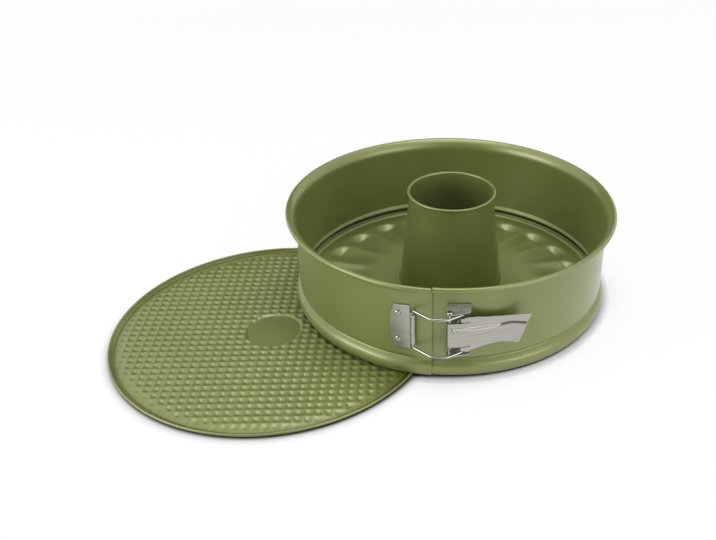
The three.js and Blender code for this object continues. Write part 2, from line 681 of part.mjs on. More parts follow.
const clasp = new THREE.Group();
clasp.position.z = CLASP_Z;
clasp.add(mesh("hinge_plate", hingePlateGeometry(hingeRivets), platedSteel));
clasp.add(mesh("wire_bail", wireBailGeometry(), platedSteel));
clasp.add(mesh("lever", leverGeometry(), platedSteel));
clasp.add(mesh("lever_bracket", bracketGeometry(bracketRivets), platedSteel));
clasp.add(mesh("pivot_pin", pivotPinGeometry(), platedSteel));
for (const { name, along, height } of hingeRivets) {
  const stack = SHEET + PLAY + PLATE;
  clasp.add(onWall(mesh(name, rivetGeometry(stack), platedSteel), along, height, LAP_OFFSET));
}
for (const { name, along, height } of bracketRivets) {
  const stack = SHEET + PLAY + PLATE;
  clasp.add(onWall(mesh(name, rivetGeometry(stack), platedSteel), along, height, 0));
}

let bandSolid = solidOf(bandGeometry());
for (const { along, height } of [...hingeRivets, ...bracketRivets]) {
  bandSolid = bandSolid.subtract(rivetHole(along, height + CLASP_Z));
}

const mould = new THREE.Group();
mould.add(mesh("band", geometryOf(bandSolid), coatedSteel));
mould.add(clasp);
mould.add(mesh("tube_base", dishGeometry(), coatedSteel));
mould.add(mesh("chimney", chimneyGeometry(), coatedSteel));

// The band's lower edge rests on the flat base's rim where the two circles cross, and on the table opposite.
const apart = FLAT_CENTRE.length();
const crossing = (BELLY_R ** 2 + apart ** 2 - BASE_R ** 2) / (2 * apart);
const lean = Math.atan2(FLAT_RIM_Z + PLAY, crossing + BELLY_R);
const leanAxis = new THREE.Vector3(FLAT_CENTRE.y, -FLAT_CENTRE.x, 0).normalize();
mould.quaternion.setFromAxisAngle(leanAxis, lean);
mould.position.z = BELLY_R * Math.sin(lean);

const flatBase = mesh("flat_base", flatBaseGeometry(), coatedSteel);
flatBase.position.set(FLAT_CENTRE.x, FLAT_CENTRE.y, 0);

// The origin is under the middle of the whole set, on the table.
const part = new THREE.Group();
part.add(mould, flatBase);
part.updateMatrixWorld(true);
const middle = new THREE.Box3().setFromObject(part, true).getCenter(new THREE.Vector3());
mould.position.x -= middle.x;
mould.position.y -= middle.y;
flatBase.position.x -= middle.x;
flatBase.position.y -= middle.y;

export default part;
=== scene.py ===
"""Dresses a springform ring-cake mould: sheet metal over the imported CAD, finishes, light and camera."""

import json
import math

import bmesh
import bpy
import numpy as np
from bpy.props import FloatProperty, FloatVectorProperty, IntProperty, PointerProperty
from mathutils import Matrix, Vector


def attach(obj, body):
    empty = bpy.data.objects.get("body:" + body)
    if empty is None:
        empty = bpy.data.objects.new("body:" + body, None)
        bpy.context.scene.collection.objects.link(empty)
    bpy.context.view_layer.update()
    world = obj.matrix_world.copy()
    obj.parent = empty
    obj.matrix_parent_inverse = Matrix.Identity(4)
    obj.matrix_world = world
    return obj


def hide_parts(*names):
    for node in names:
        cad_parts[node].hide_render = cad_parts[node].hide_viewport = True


bl_info = {
    "name": "Springform ring-cake mould",
    "version": (1, 0, 0),
    "blender": (4, 5, 0),
    "location": "View3D > Sidebar > Mould",
    "description": "Sheet-metal surfaces and finishes for a springform mould with two bases",
    "category": "Object",
}

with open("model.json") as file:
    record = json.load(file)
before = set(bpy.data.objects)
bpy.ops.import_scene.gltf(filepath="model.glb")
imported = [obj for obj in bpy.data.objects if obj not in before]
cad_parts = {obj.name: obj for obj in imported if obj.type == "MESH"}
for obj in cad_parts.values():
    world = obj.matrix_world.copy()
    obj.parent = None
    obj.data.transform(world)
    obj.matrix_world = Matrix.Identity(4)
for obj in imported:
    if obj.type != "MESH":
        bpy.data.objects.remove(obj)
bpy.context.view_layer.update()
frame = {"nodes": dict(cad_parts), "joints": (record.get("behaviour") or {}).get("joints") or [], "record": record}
JOINTS = {joint["name"]: joint for joint in frame["joints"]}

# Sizes in millimetres, as the CAD has them
MM = 0.001
SHEET = 0.6  # coated steel sheet
PLAY = 0.3  # between pieces that fit into each other

# Band: radii from the axis, heights from the foot, and lengths along the wall from the seam
BASE_R = 131.2  # outer edge of either base
WALL_OUTER_R = 130.6
BELLY_R = BASE_R + PLAY + SHEET
BELLY_TOP_Z = 9.5
BELLY_BULGE = 1.4
BELLY_EASE = 1.2  # the belly starts to draw in this far below its top
GROOVE = 2.0
GROOVE_Z = 12.8
GROOVE_WIDTH = 1.7
FLARE_Z = 71.0
FLARE_R = 11.0
FLARE_ANGLE = math.pi / 3
BEAD_R = 2.0
BEAD_TURN = math.radians(305)
CURVED_HEIGHTS = np.linspace(0, 17, 46)  # close steps over belly and groove
STRAIGHT_HEIGHTS = np.linspace(18.5, FLARE_Z, 14)
WALL_HEIGHTS = np.concatenate([CURVED_HEIGHTS, STRAIGHT_HEIGHTS])
LAP = 14.0  # length of the end that lies inside
LAP_OFFSET = 1.3  # the outer end steps out this far over it
LAP_BLEND = (34.0, 64.0)  # between these distances from its edge
LAP_PRESSED = (5.0, 30.0)  # between these, belly and groove become flatter
LAP_FLATTER = 0.7  # by this share
LAP_FINE = 40.0  # stretch with close steps
SEAM_GAP = 0.4

# Ring base
DISH_MARGIN_Z = 6.0
LOBE_DEPTH = 4.2
LOBE_INNER_R = 66.0
LOBE_OUTER_R = 118.0
LOBE_FADE = 38.0  # a scoop deepens over this length
LOBE_END = 9.0  # length of the slope at its outer end
LOBE_ROUND = 10.0  # how far that end falls back at its sides
LOBE_ACROSS = 24  # points across a scoop
RIDGE_ROUND = 0.3  # rounding of a ridge, in half widths of a scoop
MARGIN_R = 125.0
HEM_HALF = 0.85
HEM_Z = 7.7
HEM_FOLD = 2.4  # width of the folded edge
HEM_STEP = -0.2  # height of the lip over the hem's middle
HEM_DIP = 0.2  # and of the line between hem and fold
HEM_END = 0.72 * math.pi
FOLD_R = 0.35
FOLD_START = 0.3 * math.pi

# Chimney
CHIMNEY_FOOT_R = 43.8
CHIMNEY_FOOT_ROUND = 2.4
CHIMNEY_FOOT_END = 1.03 * math.pi  # angle at which the rounding meets the taper
CHIMNEY_TOP_R = 35.4
CHIMNEY_BEAD_R = 1.2
CHIMNEY_BEAD_START = -0.75 * math.pi
CHIMNEY_FLARE = 3.0
CHIMNEY_FLANGE_R = CHIMNEY_FOOT_R + 3.6
CHIMNEY_SIDES = 144
DISH_HOLE_R = CHIMNEY_FOOT_R + 1.3
SEAM_HALF = 1.7
SEAM_PROUD = 0.5
SEAM_START = 0.025  # share of the taper left bare below the rolled top
SEAM_SIDE = np.array([(-1, -0.4), (-1, 0.3), (-0.86, 0.85), (-0.5, 1), (0, 1)])  # shares across and inwards

# Flat base, from its own middle
FLAT_PANEL = 0.9
FLAT_HUB_R = 1.0  # disc that closes the panel in the middle
FLAT_RIM_Z = 4.0
FLAT_RIM_FOOT_R = 127.8
FLAT_RIM_RUN = 2.0
FLAT_RIM_SOFT = 0.7  # rounding where the rim starts to rise
FLAT_HEM_R = 1.0
FLAT_CREASE = 1.1
FLAT_CREASE_Z = 0.2
FLAT_SIDES = 256
WAFFLE_INNER_R = 21.5
WAFFLE_OUTER_R = 126.0
WAFFLE_FADE = (2.0, 9.0)  # widths over which it sinks away at its inner and outer edge
WAFFLE_SUNK = 0.05  # there it ends this far below the panel's face
WAFFLE_MIDDLE_R = (WAFFLE_INNER_R + WAFFLE_OUTER_R) / 2
WAFFLE_SPREAD = (WAFFLE_OUTER_R - WAFFLE_INNER_R) / 2
WAFFLE_TURN = math.radians(7.3)
WAFFLE_NORM = 5  # the higher, the squarer the pits
WAFFLE_SIDE = 7  # points along a side of a pit
WAFFLE_SHARP = 60

# Hinge plate and its rivets: heights from the clasp's middle, places as a length along the wall and a radius
CLASP_Z = 41.5
PLATE = 0.9
PLATE_INNER_R = WALL_OUTER_R + LAP_OFFSET + PLAY
PLATE_LEFT = -32.2
PLATE_RIGHT = -16.4
PLATE_HALF = 19.8
PLATE_BOW = 3.6  # its corners fall back this far
PLATE_CORNER = 1.0  # and it is this much lower at its left
PLATE_EDGE = 0.18
WIRE_R = 0.95
HINGE_A = (-13.8, 134.6)
HINGE_A_BORE = WIRE_R + PLAY
BARREL_HALF = 13.4
BARREL_ROLL = (0.52 * math.pi, -0.95 * math.pi)
BARREL_NECK = (0.4, 0.02)  # the plate meets the barrel this far left of its top and above it
RIVET_R = 1.5
RIVET_HEAD_R = 2.4
RIVET_DOME = 1.1
RIVET_DIMPLE = 0.55  # share of the dome's height
RIVET_DIMPLE_SLOPE = (0.62, 0.95)  # from 0 at the dome's edge to 1 in its middle
RIVET_TAIL = 1.0
RIVET_CHAMFER = 0.3
RIVET_TIP_R = 0.05  # its ends are closed by discs of this radius
RIVET_SIDES = 40
HINGE_RIVETS = {"hinge_rivet_upper": (-25.6, 11.6), "hinge_rivet_lower": (-25.6, -11.6)}

# Bail
HINGE_B = (13.0, 138.0)
HOOK_C = (22.5, 136.6)
HOOK_BORE = 1.85
ARM_HALF = 16.6
ARM_KINKS = [(-1.5, -6.7), (-13.2, -6.7)]  # from the lever's pivot
BEND = 2.2
WIRE_END = 1.0
WIRE_TIP = 0.7  # share of the radius at the wire's ends
WIRE_STEPS = 480
WIRE_SIDES = 16

# Lever: the rib's and the edges' places are shares of its length or lengths from its step, and heights
LEVER_SHEET = 0.8
LEVER_EDGE = 0.16
PIN_R = 1.2
PIN_BORE = PIN_R + PLAY
TONGUE_HALF = 10.5
TONGUE_ROLL = (-2.08 * math.pi, -0.5 * math.pi)
LEVER_HALF = 15.3
LEVER_ROUTE = [(47.5, 135.7), (59.5, 137.4), (70.5, 142.0)]
HOOK_HALF = 14.4
HOOK_ROLL = (0.96 * math.pi, 1.5 * math.pi)
HOOK_STEP = 1.0  # the lever steps out to its full width this far past the hooks
SLIT = 4.5
SLIT_HIGH = 0.6
RIB_ROUTE = [(0, 5.1), (0.16, 5), (0.35, 4.2), (0.56, 3.8), (0.66, 4.95), (0.78, 6), (0.89, 5.6), (1, 5)]
RIB_START = 0.085
RIB_STOP = 0.975
RIB_END = 0.012
RIB_HALF = 1.7
RIB_TURNS = (0.58, 0.66)  # between these the rib becomes a groove
RIB_GROOVE_WIDTH = 0.7  # as a share of the rib's
RIB_GROOVE_DEPTH = 1.3
PIP_AT = (2.4, 4.8)
PIP_R = 1.4
PIP_HIGH = 1.3
TIP_SLANT = 8.0
TIP_START = 0.78
UPPER_EDGE = np.array([[0, 15.3], [9, 14.7], [16, 13.2], [27, 12.2], [36, 12.4], [47, 13.8]])
LOWER_EDGE = np.array([[0, -15.3], [8, -13.3], [16, -11.8], [25, -10.9], [32, -11.3], [39, -12.6]])

# Bracket and pin
BRACKET_LEFT = 11.0
BRACKET_RIGHT = 28.5
EAR_HALF = 18.6
EAR_R = 2.9
EAR_ROLL = (-1.12 * math.pi, -0.42 * math.pi)
EAR_CROWN = 3.0  # an ear's height at the wall above its level part
EAR_REACH = 5.5  # length of its slope, carried on to the level of the pivot
EAR_CREASE = (0.41, 0.045)  # place along the ear and width, as shares of its length
EAR_DROP = -0.5
EAR_EDGE = 0.3
EAR_CORNER = [(25.5, 137.6), (27.9, 136.5)]
EAR_STEPS = 40
EAR_ACROSS = 12
PIN_HEAD = 1.4
PIN_DOME = 1.3
PIN_DOME_END = 0.98 * math.pi / 2  # just short of the axis
PIN_SIDES = 32

# Edges, in degrees: shading breaks above the first angle, and a rounded edge starts at the second
SHARP = 35
BEVELLED = 50
MERGED = 1e-6  # metres between points that become one

# Sizes of the finishes' patterns in metres. Real flake and brushing are finer, and are drawn coarser to show
CLOUD = 60 * MM
FLAKE = 0.7 * MM
PEEL = 1.6 * MM
STREAK = (40 * MM, 40 * MM, 0.4 * MM)
STAIN = 4 * MM
WHITE = "#ffffff"

# The photograph's camera, found from the rim, the chimney and the flat base
FRAME_WIDTH = 716
FOCAL_PX = 923.4
PRINCIPAL_X = 450
CAMERA_BACK = 692.1
CAMERA_HIGH = 442.4
CAMERA_PITCH = math.radians(31.6)
CAMERA_ROLL = math.radians(0.24)
CAMERA_TURN = math.radians(6.24)
SENSOR = 36.0

# The stage, in metres, watts and strengths
FLOOR_HALF = 4.0
FLOOR_DROP = 0.0002
CONTACT = 0.008  # reach of the painted shadow on the floor at the foot of things
CONTACT_POWER = 1.2
ENCLOSED = 0.08  # reach of the painted shade on the floor in closed-in places
ENCLOSED_SPAN = (0.25, 0.56)  # open share of the view at which the floor's painted shade is black, and at which it is white
OCCLUSION_SAMPLES = 8
WHITE_SHARE = 0.92
FILL = 0.72
FLAG_LOW = 0.12
FLAGS = [((-0.6, -1.2), (0.6, -1.2), 2.1), ((-0.75, 0.8), (0.4, 1.4), 0.95)]  # two corners and a height
LAMP_TARGET = (0.0, 0.0, 0.03)
LAMPS = {
    "left": ((-1.2, -0.75, 0.7), (1.0, 0.8), 11),
    "right": ((1.3, -0.8, 0.6), (1.0, 0.8), 6),
    "top": ((0.06, 0.12, 1.3), (0.7, 0.7), 5),
}


# The mould's own frame, which leans a little in the row's


def on_plan(along, r):
    """A place on the plan from a length along the wall and a radius r: (r sin a, -r cos a), with a the
    length over the wall's radius."""
    azimuth = np.asarray(along) / WALL_OUTER_R
    return np.stack([r * np.sin(azimuth), -r * np.cos(azimuth)], -1)


def leaning(up):
    """The smallest turn that takes +Z to up: 1 + K + K K / (1 + c), with K the cross product by z x up."""
    v = np.cross([0.0, 0.0, 1.0], up)
    k = np.array([[0, -v[2], v[1]], [v[2], 0, -v[0]], [-v[1], v[0], 0]])
    return np.eye(3) + k + k @ k / (1 + up[2])


LEAN = leaning(np.array(JOINTS["band_lift"]["axis"], float))
PIVOT = np.array([*on_plan(*HINGE_B), CLASP_Z])
ORIGIN = np.array(JOINTS["lever_open"]["pos_m"], float) - LEAN @ PIVOT * MM
FLAT_ORIGIN = np.array(frame["record"]["mounts"][0]["pos_m"], float)


def settle(points):
    """Mould millimetres to the row's metres."""
    return np.asarray(points, float).reshape(-1, 3) @ LEAN.T * MM + ORIGIN


def settle_flat(points):
    """The flat base's own millimetres to the row's metres."""
    return np.asarray(points, float).reshape(-1, 3) * MM + FLAT_ORIGIN


# Curves and surfaces


def smooth(value, low, high):
    """0 below low, 1 above high, and 3t^2 - 2t^3 between them."""
    t = np.clip((np.asarray(value, float) - low) / (high - low), 0, 1)
    return t * t * (3 - 2 * t)


def arc(centre, radius, start, end, count):
    """Points on a circle from one angle to another."""
    angle = np.linspace(start, end, count)
    return np.stack([centre[0] + radius * np.cos(angle), centre[1] + radius * np.sin(angle)], 1)


def evenly(points, count):
    """Points spaced evenly by length along a polyline."""
    points = np.asarray(points, float)
    length = np.concatenate([[0], np.cumsum(np.linalg.norm(np.diff(points, axis=0), axis=1))])
    at = np.linspace(0, length[-1], count)
    return np.stack([np.interp(at, length, column) for column in points.T], 1)


def spline(points, count):
    """Centripetal Catmull-Rom curve through the points, by its three levels of straight blends, and spaced
    evenly."""
    p = np.asarray(points, float)
    p = np.vstack([2 * p[0] - p[1], p, 2 * p[-1] - p[-2]])
    knots = np.concatenate([[0], np.cumsum(np.sqrt(np.linalg.norm(np.diff(p, axis=0), axis=1)))])
    t = np.linspace(knots[1], knots[-2], count * 4)
    i = np.clip(np.searchsorted(knots, t, side="right") - 1, 1, len(p) - 3)

    def mix(low, high, a, b):
        """a (1 - s) + b s, with s the share of the way from one knot to the other."""
        share = ((t - knots[low]) / (knots[high] - knots[low]))[:, None]
        return a * (1 - share) + b * share

    a1 = mix(i - 1, i, p[i - 1], p[i])
    a2 = mix(i, i + 1, p[i], p[i + 1])
    a3 = mix(i + 1, i + 2, p[i + 1], p[i + 2])
    b1 = mix(i - 1, i + 1, a1, a2)
    b2 = mix(i, i + 2, a2, a3)
    return evenly(mix(i, i + 1, b1, b2), count)


def bent(corners, radius):
    """A path with its inner corners P rounded: from A = P less radius back to B = P plus radius ahead, each
    corner is the curve (1 - t)^2 A + 2 t (1 - t) P + t^2 B."""
    corners = np.asarray(corners, float)
    ahead = np.diff(corners, axis=0)
    ahead /= np.linalg.norm(ahead, axis=1, keepdims=True)
    p = corners[1:-1, None]
    a = p - radius * ahead[:-1, None]
    b = p + radius * ahead[1:, None]
    t = np.linspace(0, 1, 12)[None, :, None]
    curves = (1 - t) ** 2 * a + 2 * t * (1 - t) * p + t**2 * b
    return np.concatenate([corners[:1], curves.reshape(-1, corners.shape[1]), corners[-1:]])


def side_of(line):
    """Unit normals of plan lines, to the right of their direction: (dy, -dx)."""
    d = np.gradient(line, axis=-2)
    n = np.stack([d[..., 1], -d[..., 0]], -1)
    return n / np.linalg.norm(n, axis=-1, keepdims=True)


def sheet_section(line, thickness):
    """The closed outline of a sheet with that middle line: half the thickness out to each side of it."""
    n = side_of(line)
    half = thickness / 2
    return np.concatenate([line + n * half, (line - n * half)[..., ::-1, :]], axis=-2)


def grid_faces(rows, columns, close_rows=False, close_columns=False):
    """Quads between neighbours of a rows by columns grid of points, numbered row by row."""
    i = np.arange(rows if close_rows else rows - 1)[:, None]
    j = np.arange(columns if close_columns else columns - 1)[None, :]
    i2 = (i + 1) % rows
    j2 = (j + 1) % columns
    corners = [i * columns + j, i * columns + j2, i2 * columns + j2, i2 * columns + j]
    return np.stack([c + 0 * (i + j) for c in corners], -1).reshape(-1, 4)


def faces_where(kept):
    """The quads of a grid whose cells are marked as kept."""
    rows, columns = kept.shape
    return grid_faces(rows + 1, columns + 1)[kept.ravel()]


def tube_faces(rings, sides):
    """Quads between the rings of a tube, and a face over each of its ends."""
    last = (rings - 1) * sides
    ends = [list(range(sides)), list(range(last, last + sides))]
    return grid_faces(rings, sides, close_columns=True).tolist() + ends


def carried_round(r, z, azimuths):
    """A profile of radius and height carried round the axis: (r sin a, -r cos a, z)."""
    r, z = np.broadcast_arrays(r, z)
    a = np.asarray(azimuths, float)[:, None]
    return np.stack([r * np.sin(a), -r * np.cos(a), z + 0 * a], -1)


def turned(profile, steps):
    """A closed profile turned all the way round the axis."""
    profile = np.asarray(profile, float)
    azimuths = np.linspace(0, 2 * math.pi, steps, endpoint=False)
    points = carried_round(profile[None, :, 0], profile[None, :, 1], azimuths)
    return points, grid_faces(steps, len(profile), True, True)


def capped_turn(profile, steps):
    """An open profile turned round the axis, its two ends closed by flat discs."""
    profile = np.asarray(profile, float)
    azimuths = np.linspace(0, 2 * math.pi, steps, endpoint=False)
    points = carried_round(profile[None, :, 0], profile[None, :, 1], azimuths)
    faces = grid_faces(steps, len(profile), close_rows=True).tolist()
    first = np.arange(steps) * len(profile)
    return points, faces + [first.tolist(), (first + len(profile) - 1).tolist()]


def raised(outline, low, high):
    """A plan outline raised from one height to another, with flat ends."""
    x, y = np.asarray(outline, float).T
    points = np.stack(np.broadcast_arrays(x, y, np.array([[low], [high]], float)), -1)
    return points, tube_faces(2, len(x))


def joined(*parts):
    """Several sets of points and faces as one."""
    points = [np.asarray(p, float).reshape(-1, 3) for p, _ in parts]
    starts = np.cumsum([0] + [len(p) for p in points]).tolist()
    faces = []
    for (_, own), start in zip(parts, starts):
        faces += [[int(k) + start for k in face] for face in own]
    return np.concatenate(points), faces


def make_piece(name, shape, finish, body, stands_for=(), place=settle, sharp=SHARP, outwards=True):
    """A mesh object at the origin, its place in its mesh, riding on its body."""
    points, faces = shape
    mesh = bpy.data.meshes.new(name)
    mesh.from_pydata(place(points).tolist(), [], [list(f) for f in faces])
    mended = bmesh.new()
    mended.from_mesh(mesh)
    bmesh.ops.remove_doubles(mended, verts=mended.verts, dist=MERGED)
    if outwards:
        bmesh.ops.recalc_face_normals(mended, faces=mended.faces)
    mended.to_mesh(mesh)
    mended.free()
    mesh.shade_smooth()
    mesh.set_sharp_from_angle(angle=math.radians(sharp))
    mesh.materials.append(finish)
    piece = bpy.data.objects.new(name, mesh)
    bpy.context.scene.collection.objects.link(piece)
    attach(piece, body)
    if stands_for:
        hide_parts(*stands_for)
    return piece


def thicken(piece, thickness, edge):
    """Gives a one-sided sheet its thickness behind its face, and softened edges."""
    solid = piece.modifiers.new("thickness", "SOLIDIFY")
    solid.thickness = thickness * MM
    solid.offset = -1
    solid.use_even_offset = True
    soften(piece, edge)


def soften(piece, edge):
    """Rounds a piece's sharp edges."""
    soft = piece.modifiers.new("edge", "BEVEL")
    soft.width = edge * MM
    soft.segments = 2
    soft.limit_method = "ANGLE"
    soft.angle_limit = math.radians(BEVELLED)


# Finishes


def linear(code):
    """An sRGB hex colour as linear red, green, blue and full alpha."""
    value = np.array([int(code[i : i + 2], 16) for i in (1, 3, 5)]) / 255
    value = np.where(value <= 0.04045, value / 12.92, ((value + 0.055) / 1.055) ** 2.4)
    return (*value.tolist(), 1.0)


def shade(colour, share):
    """A linear colour times a share, with full alpha."""
    return (*[c * share for c in colour], 1.0)


def node(tree, kind, inputs=None, stops=(), **settings):
    """Adds a node with its settings, a ramp's stops, and its inputs by name or number, each set or linked."""
    made = tree.nodes.new(kind)
    for key, value in settings.items():
        setattr(made, key, value)
    for element, (place, colour) in zip(made.color_ramp.elements if stops else (), stops):
        element.position = place
        element.color = colour
    for key, value in (inputs or {}).items():
        if isinstance(value, bpy.types.NodeSocket):
            tree.links.new(value, made.inputs[key])
        else:
            made.inputs[key].default_value = value
    return made


def new_finish(name):
    """A material with an empty node tree."""
    finish = bpy.data.materials.new(name)
    finish.use_nodes = True
    finish.node_tree.nodes.clear()
    return finish, finish.node_tree


def stove_coated_steel(colours):
    """Sheet steel with a baked metallic coating under a clear one. It is satin, with fine flake, slight
    orange peel and a cloudy tone. The clear coat gives a pale sheen where white is seen at a low angle."""
    name = "stove_coated_steel"
    if name in bpy.data.materials:
        return bpy.data.materials[name]
    finish, tree = new_finish(name)
    at = node(tree, "ShaderNodeTexCoord").outputs["Object"]
    cloud = node(tree, "ShaderNodeTexNoise", {"Vector": at, "Scale": 1 / CLOUD, "Detail": 3})
    flake = node(tree, "ShaderNodeTexNoise", {"Vector": at, "Scale": 1 / FLAKE, "Detail": 1})
    peel = node(tree, "ShaderNodeTexNoise", {"Vector": at, "Scale": 1 / PEEL, "Detail": 2})
    tones = [(0.3, shade(colours.coating, 0.94)), (0.7, shade(colours.coating, 1.06))]
    tone = node(tree, "ShaderNodeValToRGB", {"Fac": cloud.outputs["Fac"]}, tones)
    sparks = [(0.35, (0.94, 0.94, 0.94, 1)), (0.75, (1.1, 1.1, 1.08, 1))]
    spark = node(tree, "ShaderNodeValToRGB", {"Fac": flake.outputs["Fac"]}, sparks)
    # A mix node's colours are its inputs 6 and 7 and its output 2
    both = {"Factor": 1.0, 6: tone.outputs["Color"], 7: spark.outputs["Color"]}
    colour = node(tree, "ShaderNodeMix", both, data_type="RGBA", blend_type="MULTIPLY")
    rough = node(tree, "ShaderNodeMapRange", {"Value": cloud.outputs["Fac"], "To Min": 0.38, "To Max": 0.46})
    relief = {"Height": peel.outputs["Fac"], "Strength": 0.05, "Distance": 0.3 * MM}
    bump = node(tree, "ShaderNodeBump", relief)
    look = {
        "Base Color": colour.outputs[2],
        "Roughness": rough.outputs["Result"],
        "Normal": bump.outputs["Normal"],
        "Metallic": 0.4,
        "Coat Weight": 0.7,
        "Coat Roughness": 0.2,
    }
    shader = node(tree, "ShaderNodeBsdfPrincipled", look)
    node(tree, "ShaderNodeOutputMaterial", {"Surface": shader.outputs["BSDF"]})
    return finish


def brushed_plated_steel(colours, name="brushed_plated_steel", rough_span=(0.24, 0.4)):
    """Plated sheet steel brushed along its length: bright, with fine level streaks. Unpolished it is rougher,
    and looks evenly grey from most sides."""
    if name in bpy.data.materials:
        return bpy.data.materials[name]
    finish, tree = new_finish(name)
    at = node(tree, "ShaderNodeTexCoord").outputs["Object"]
    stretch = {"Vector": at, "Scale": [1 / size for size in STREAK]}
    along = node(tree, "ShaderNodeMapping", stretch, vector_type="POINT").outputs["Vector"]
    streak = node(tree, "ShaderNodeTexNoise", {"Vector": along, "Scale": 1, "Detail": 3, "Roughness": 0.6})
    tones = [(0.3, shade(colours.plating, 0.8)), (0.7, shade(colours.plating, 1.12))]
    tone = node(tree, "ShaderNodeValToRGB", {"Fac": streak.outputs["Fac"]}, tones)
    span = {"To Min": rough_span[0], "To Max": rough_span[1]}
    rough = node(tree, "ShaderNodeMapRange", {"Value": streak.outputs["Fac"], **span})
    relief = {"Height": streak.outputs["Fac"], "Strength": 0.12, "Distance": 0.2 * MM}
    bump = node(tree, "ShaderNodeBump", relief)
    look = {
        "Base Color": tone.outputs["Color"],
        "Roughness": rough.outputs["Result"],
        "Normal": bump.outputs["Normal"],
        "Metallic": 1.0,
    }
    shader = node(tree, "ShaderNodeBsdfPrincipled", look)
    node(tree, "ShaderNodeOutputMaterial", {"Surface": shader.outputs["BSDF"]})
    return finish


def drawn_wire_steel(colours):
    """Plated spring wire: smooth and bright, drawn rather than brushed, with faint stains."""
    name = "drawn_wire_steel"
    if name in bpy.data.materials:
        return bpy.data.materials[name]
    finish, tree = new_finish(name)
    at = node(tree, "ShaderNodeTexCoord").outputs["Object"]
    stain = node(tree, "ShaderNodeTexNoise", {"Vector": at, "Scale": 1 / STAIN, "Detail": 2})
    tones = [(0.3, shade(colours.plating, 0.86)), (0.7, shade(colours.plating, 1))]
    tone = node(tree, "ShaderNodeValToRGB", {"Fac": stain.outputs["Fac"]}, tones)
    rough = node(tree, "ShaderNodeMapRange", {"Value": stain.outputs["Fac"], "To Min": 0.12, "To Max": 0.22})
    look = {"Base Color": tone.outputs["Color"], "Roughness": rough.outputs["Result"], "Metallic": 1.0}
    shader = node(tree, "ShaderNodeBsdfPrincipled", look)
    node(tree, "ShaderNodeOutputMaterial", {"Surface": shader.outputs["BSDF"]})
    return finish


# Sizes and colours that a user would change


class MouldSizes(bpy.types.PropertyGroup):
    """Sizes and counts of the mould."""

    chimney_height: FloatProperty(
        name="Chimney height",
        description="Height of the chimney's rolled top",
        default=0.092,
        unit="LENGTH",
        precision=4,
    )
    lobes: IntProperty(name="Lobes", description="Scoops round the ring base", default=22, min=3)
    waffle_pitch: FloatProperty(
        name="Waffle pitch",
        description="Spacing of the flat base's pits",
        default=0.0073,
        unit="LENGTH",
        precision=4,
    )
    waffle_height: FloatProperty(
        name="Waffle height",
        description="Height of the ridges between the pits",
        default=0.0014,
        unit="LENGTH",
        precision=4,
    )
    rib_height: FloatProperty(
        name="Rib height",
        description="How far the lever's rib stands out",
        default=0.0018,
        unit="LENGTH",
        precision=4,
    )


class MouldColours(bpy.types.PropertyGroup):
    """Colours of the mould and of the floor."""

    coating: FloatVectorProperty(
        name="Coating",
        description="Baked coating on the sheet",
        subtype="COLOR",
        default=linear("#7f8549")[:3],
    )
    plating: FloatVectorProperty(
        name="Plating",
        description="Bare plated steel of the clasp",
        subtype="COLOR",
        default=linear("#b4b2aa")[:3],
    )
    floor: FloatVectorProperty(
        name="Floor",
        description="Pale table top",
        subtype="COLOR",
        default=linear("#f7f7f7")[:3],
    )


# Band


def band_line(azimuths):
    """The strip's middle line of radius and height, one row for each azimuth. The belly bulges as a
    parabola, a groove of Gauss form parts it from the straight wall, and above come the flare's arc and the
    bead's roll. Near the outer end belly and groove are flatter, and the strip steps out over the lap."""
    wall = WALL_OUTER_R - SHEET / 2
    left = 2 * math.pi * WALL_OUTER_R - azimuths * WALL_OUTER_R
    relief = 1 - LAP_FLATTER * (1 - smooth(left, *LAP_PRESSED))[:, None]
    off = (LAP_OFFSET * (1 - smooth(left, *LAP_BLEND)))[:, None]
    z = WALL_HEIGHTS[None, :]
    half = BELLY_TOP_Z / 2
    belly = BELLY_R - SHEET / 2 - wall + BELLY_BULGE * relief * (1 - ((z - half) / half) ** 2)
    groove = GROOVE * relief * np.exp(-(((z - GROOVE_Z) / GROOVE_WIDTH) ** 2))
    r = wall + belly * (1 - smooth(z, BELLY_TOP_Z - BELLY_EASE, GROOVE_Z)) - groove
    line = np.stack([r, z + 0 * r], -1)
    centre = np.array([WALL_OUTER_R - SHEET + FLARE_R, FLARE_Z])
    turn = math.pi - FLARE_ANGLE
    bead = centre + (FLARE_R - BEAD_R) * np.array([math.cos(turn), math.sin(turn)])
    flare = arc(centre, FLARE_R - SHEET / 2, math.pi, turn, count=14)[1:]
    roll = arc(bead, BEAD_R - SHEET / 2, turn, turn - BEAD_TURN, count=26)[1:]
    top = np.concatenate([flare, roll])
    line = np.concatenate([line, np.broadcast_to(top, (len(azimuths), *top.shape))], axis=1)
    line[..., 0] += off
    return line


def strip_cap(count):
    """Quads over the end of a sheet's section, between its outer line of so many points and its inner one."""
    k = np.arange(count - 1)
    return np.stack([k, k + 1, 2 * count - 2 - k, 2 * count - 1 - k], 1)


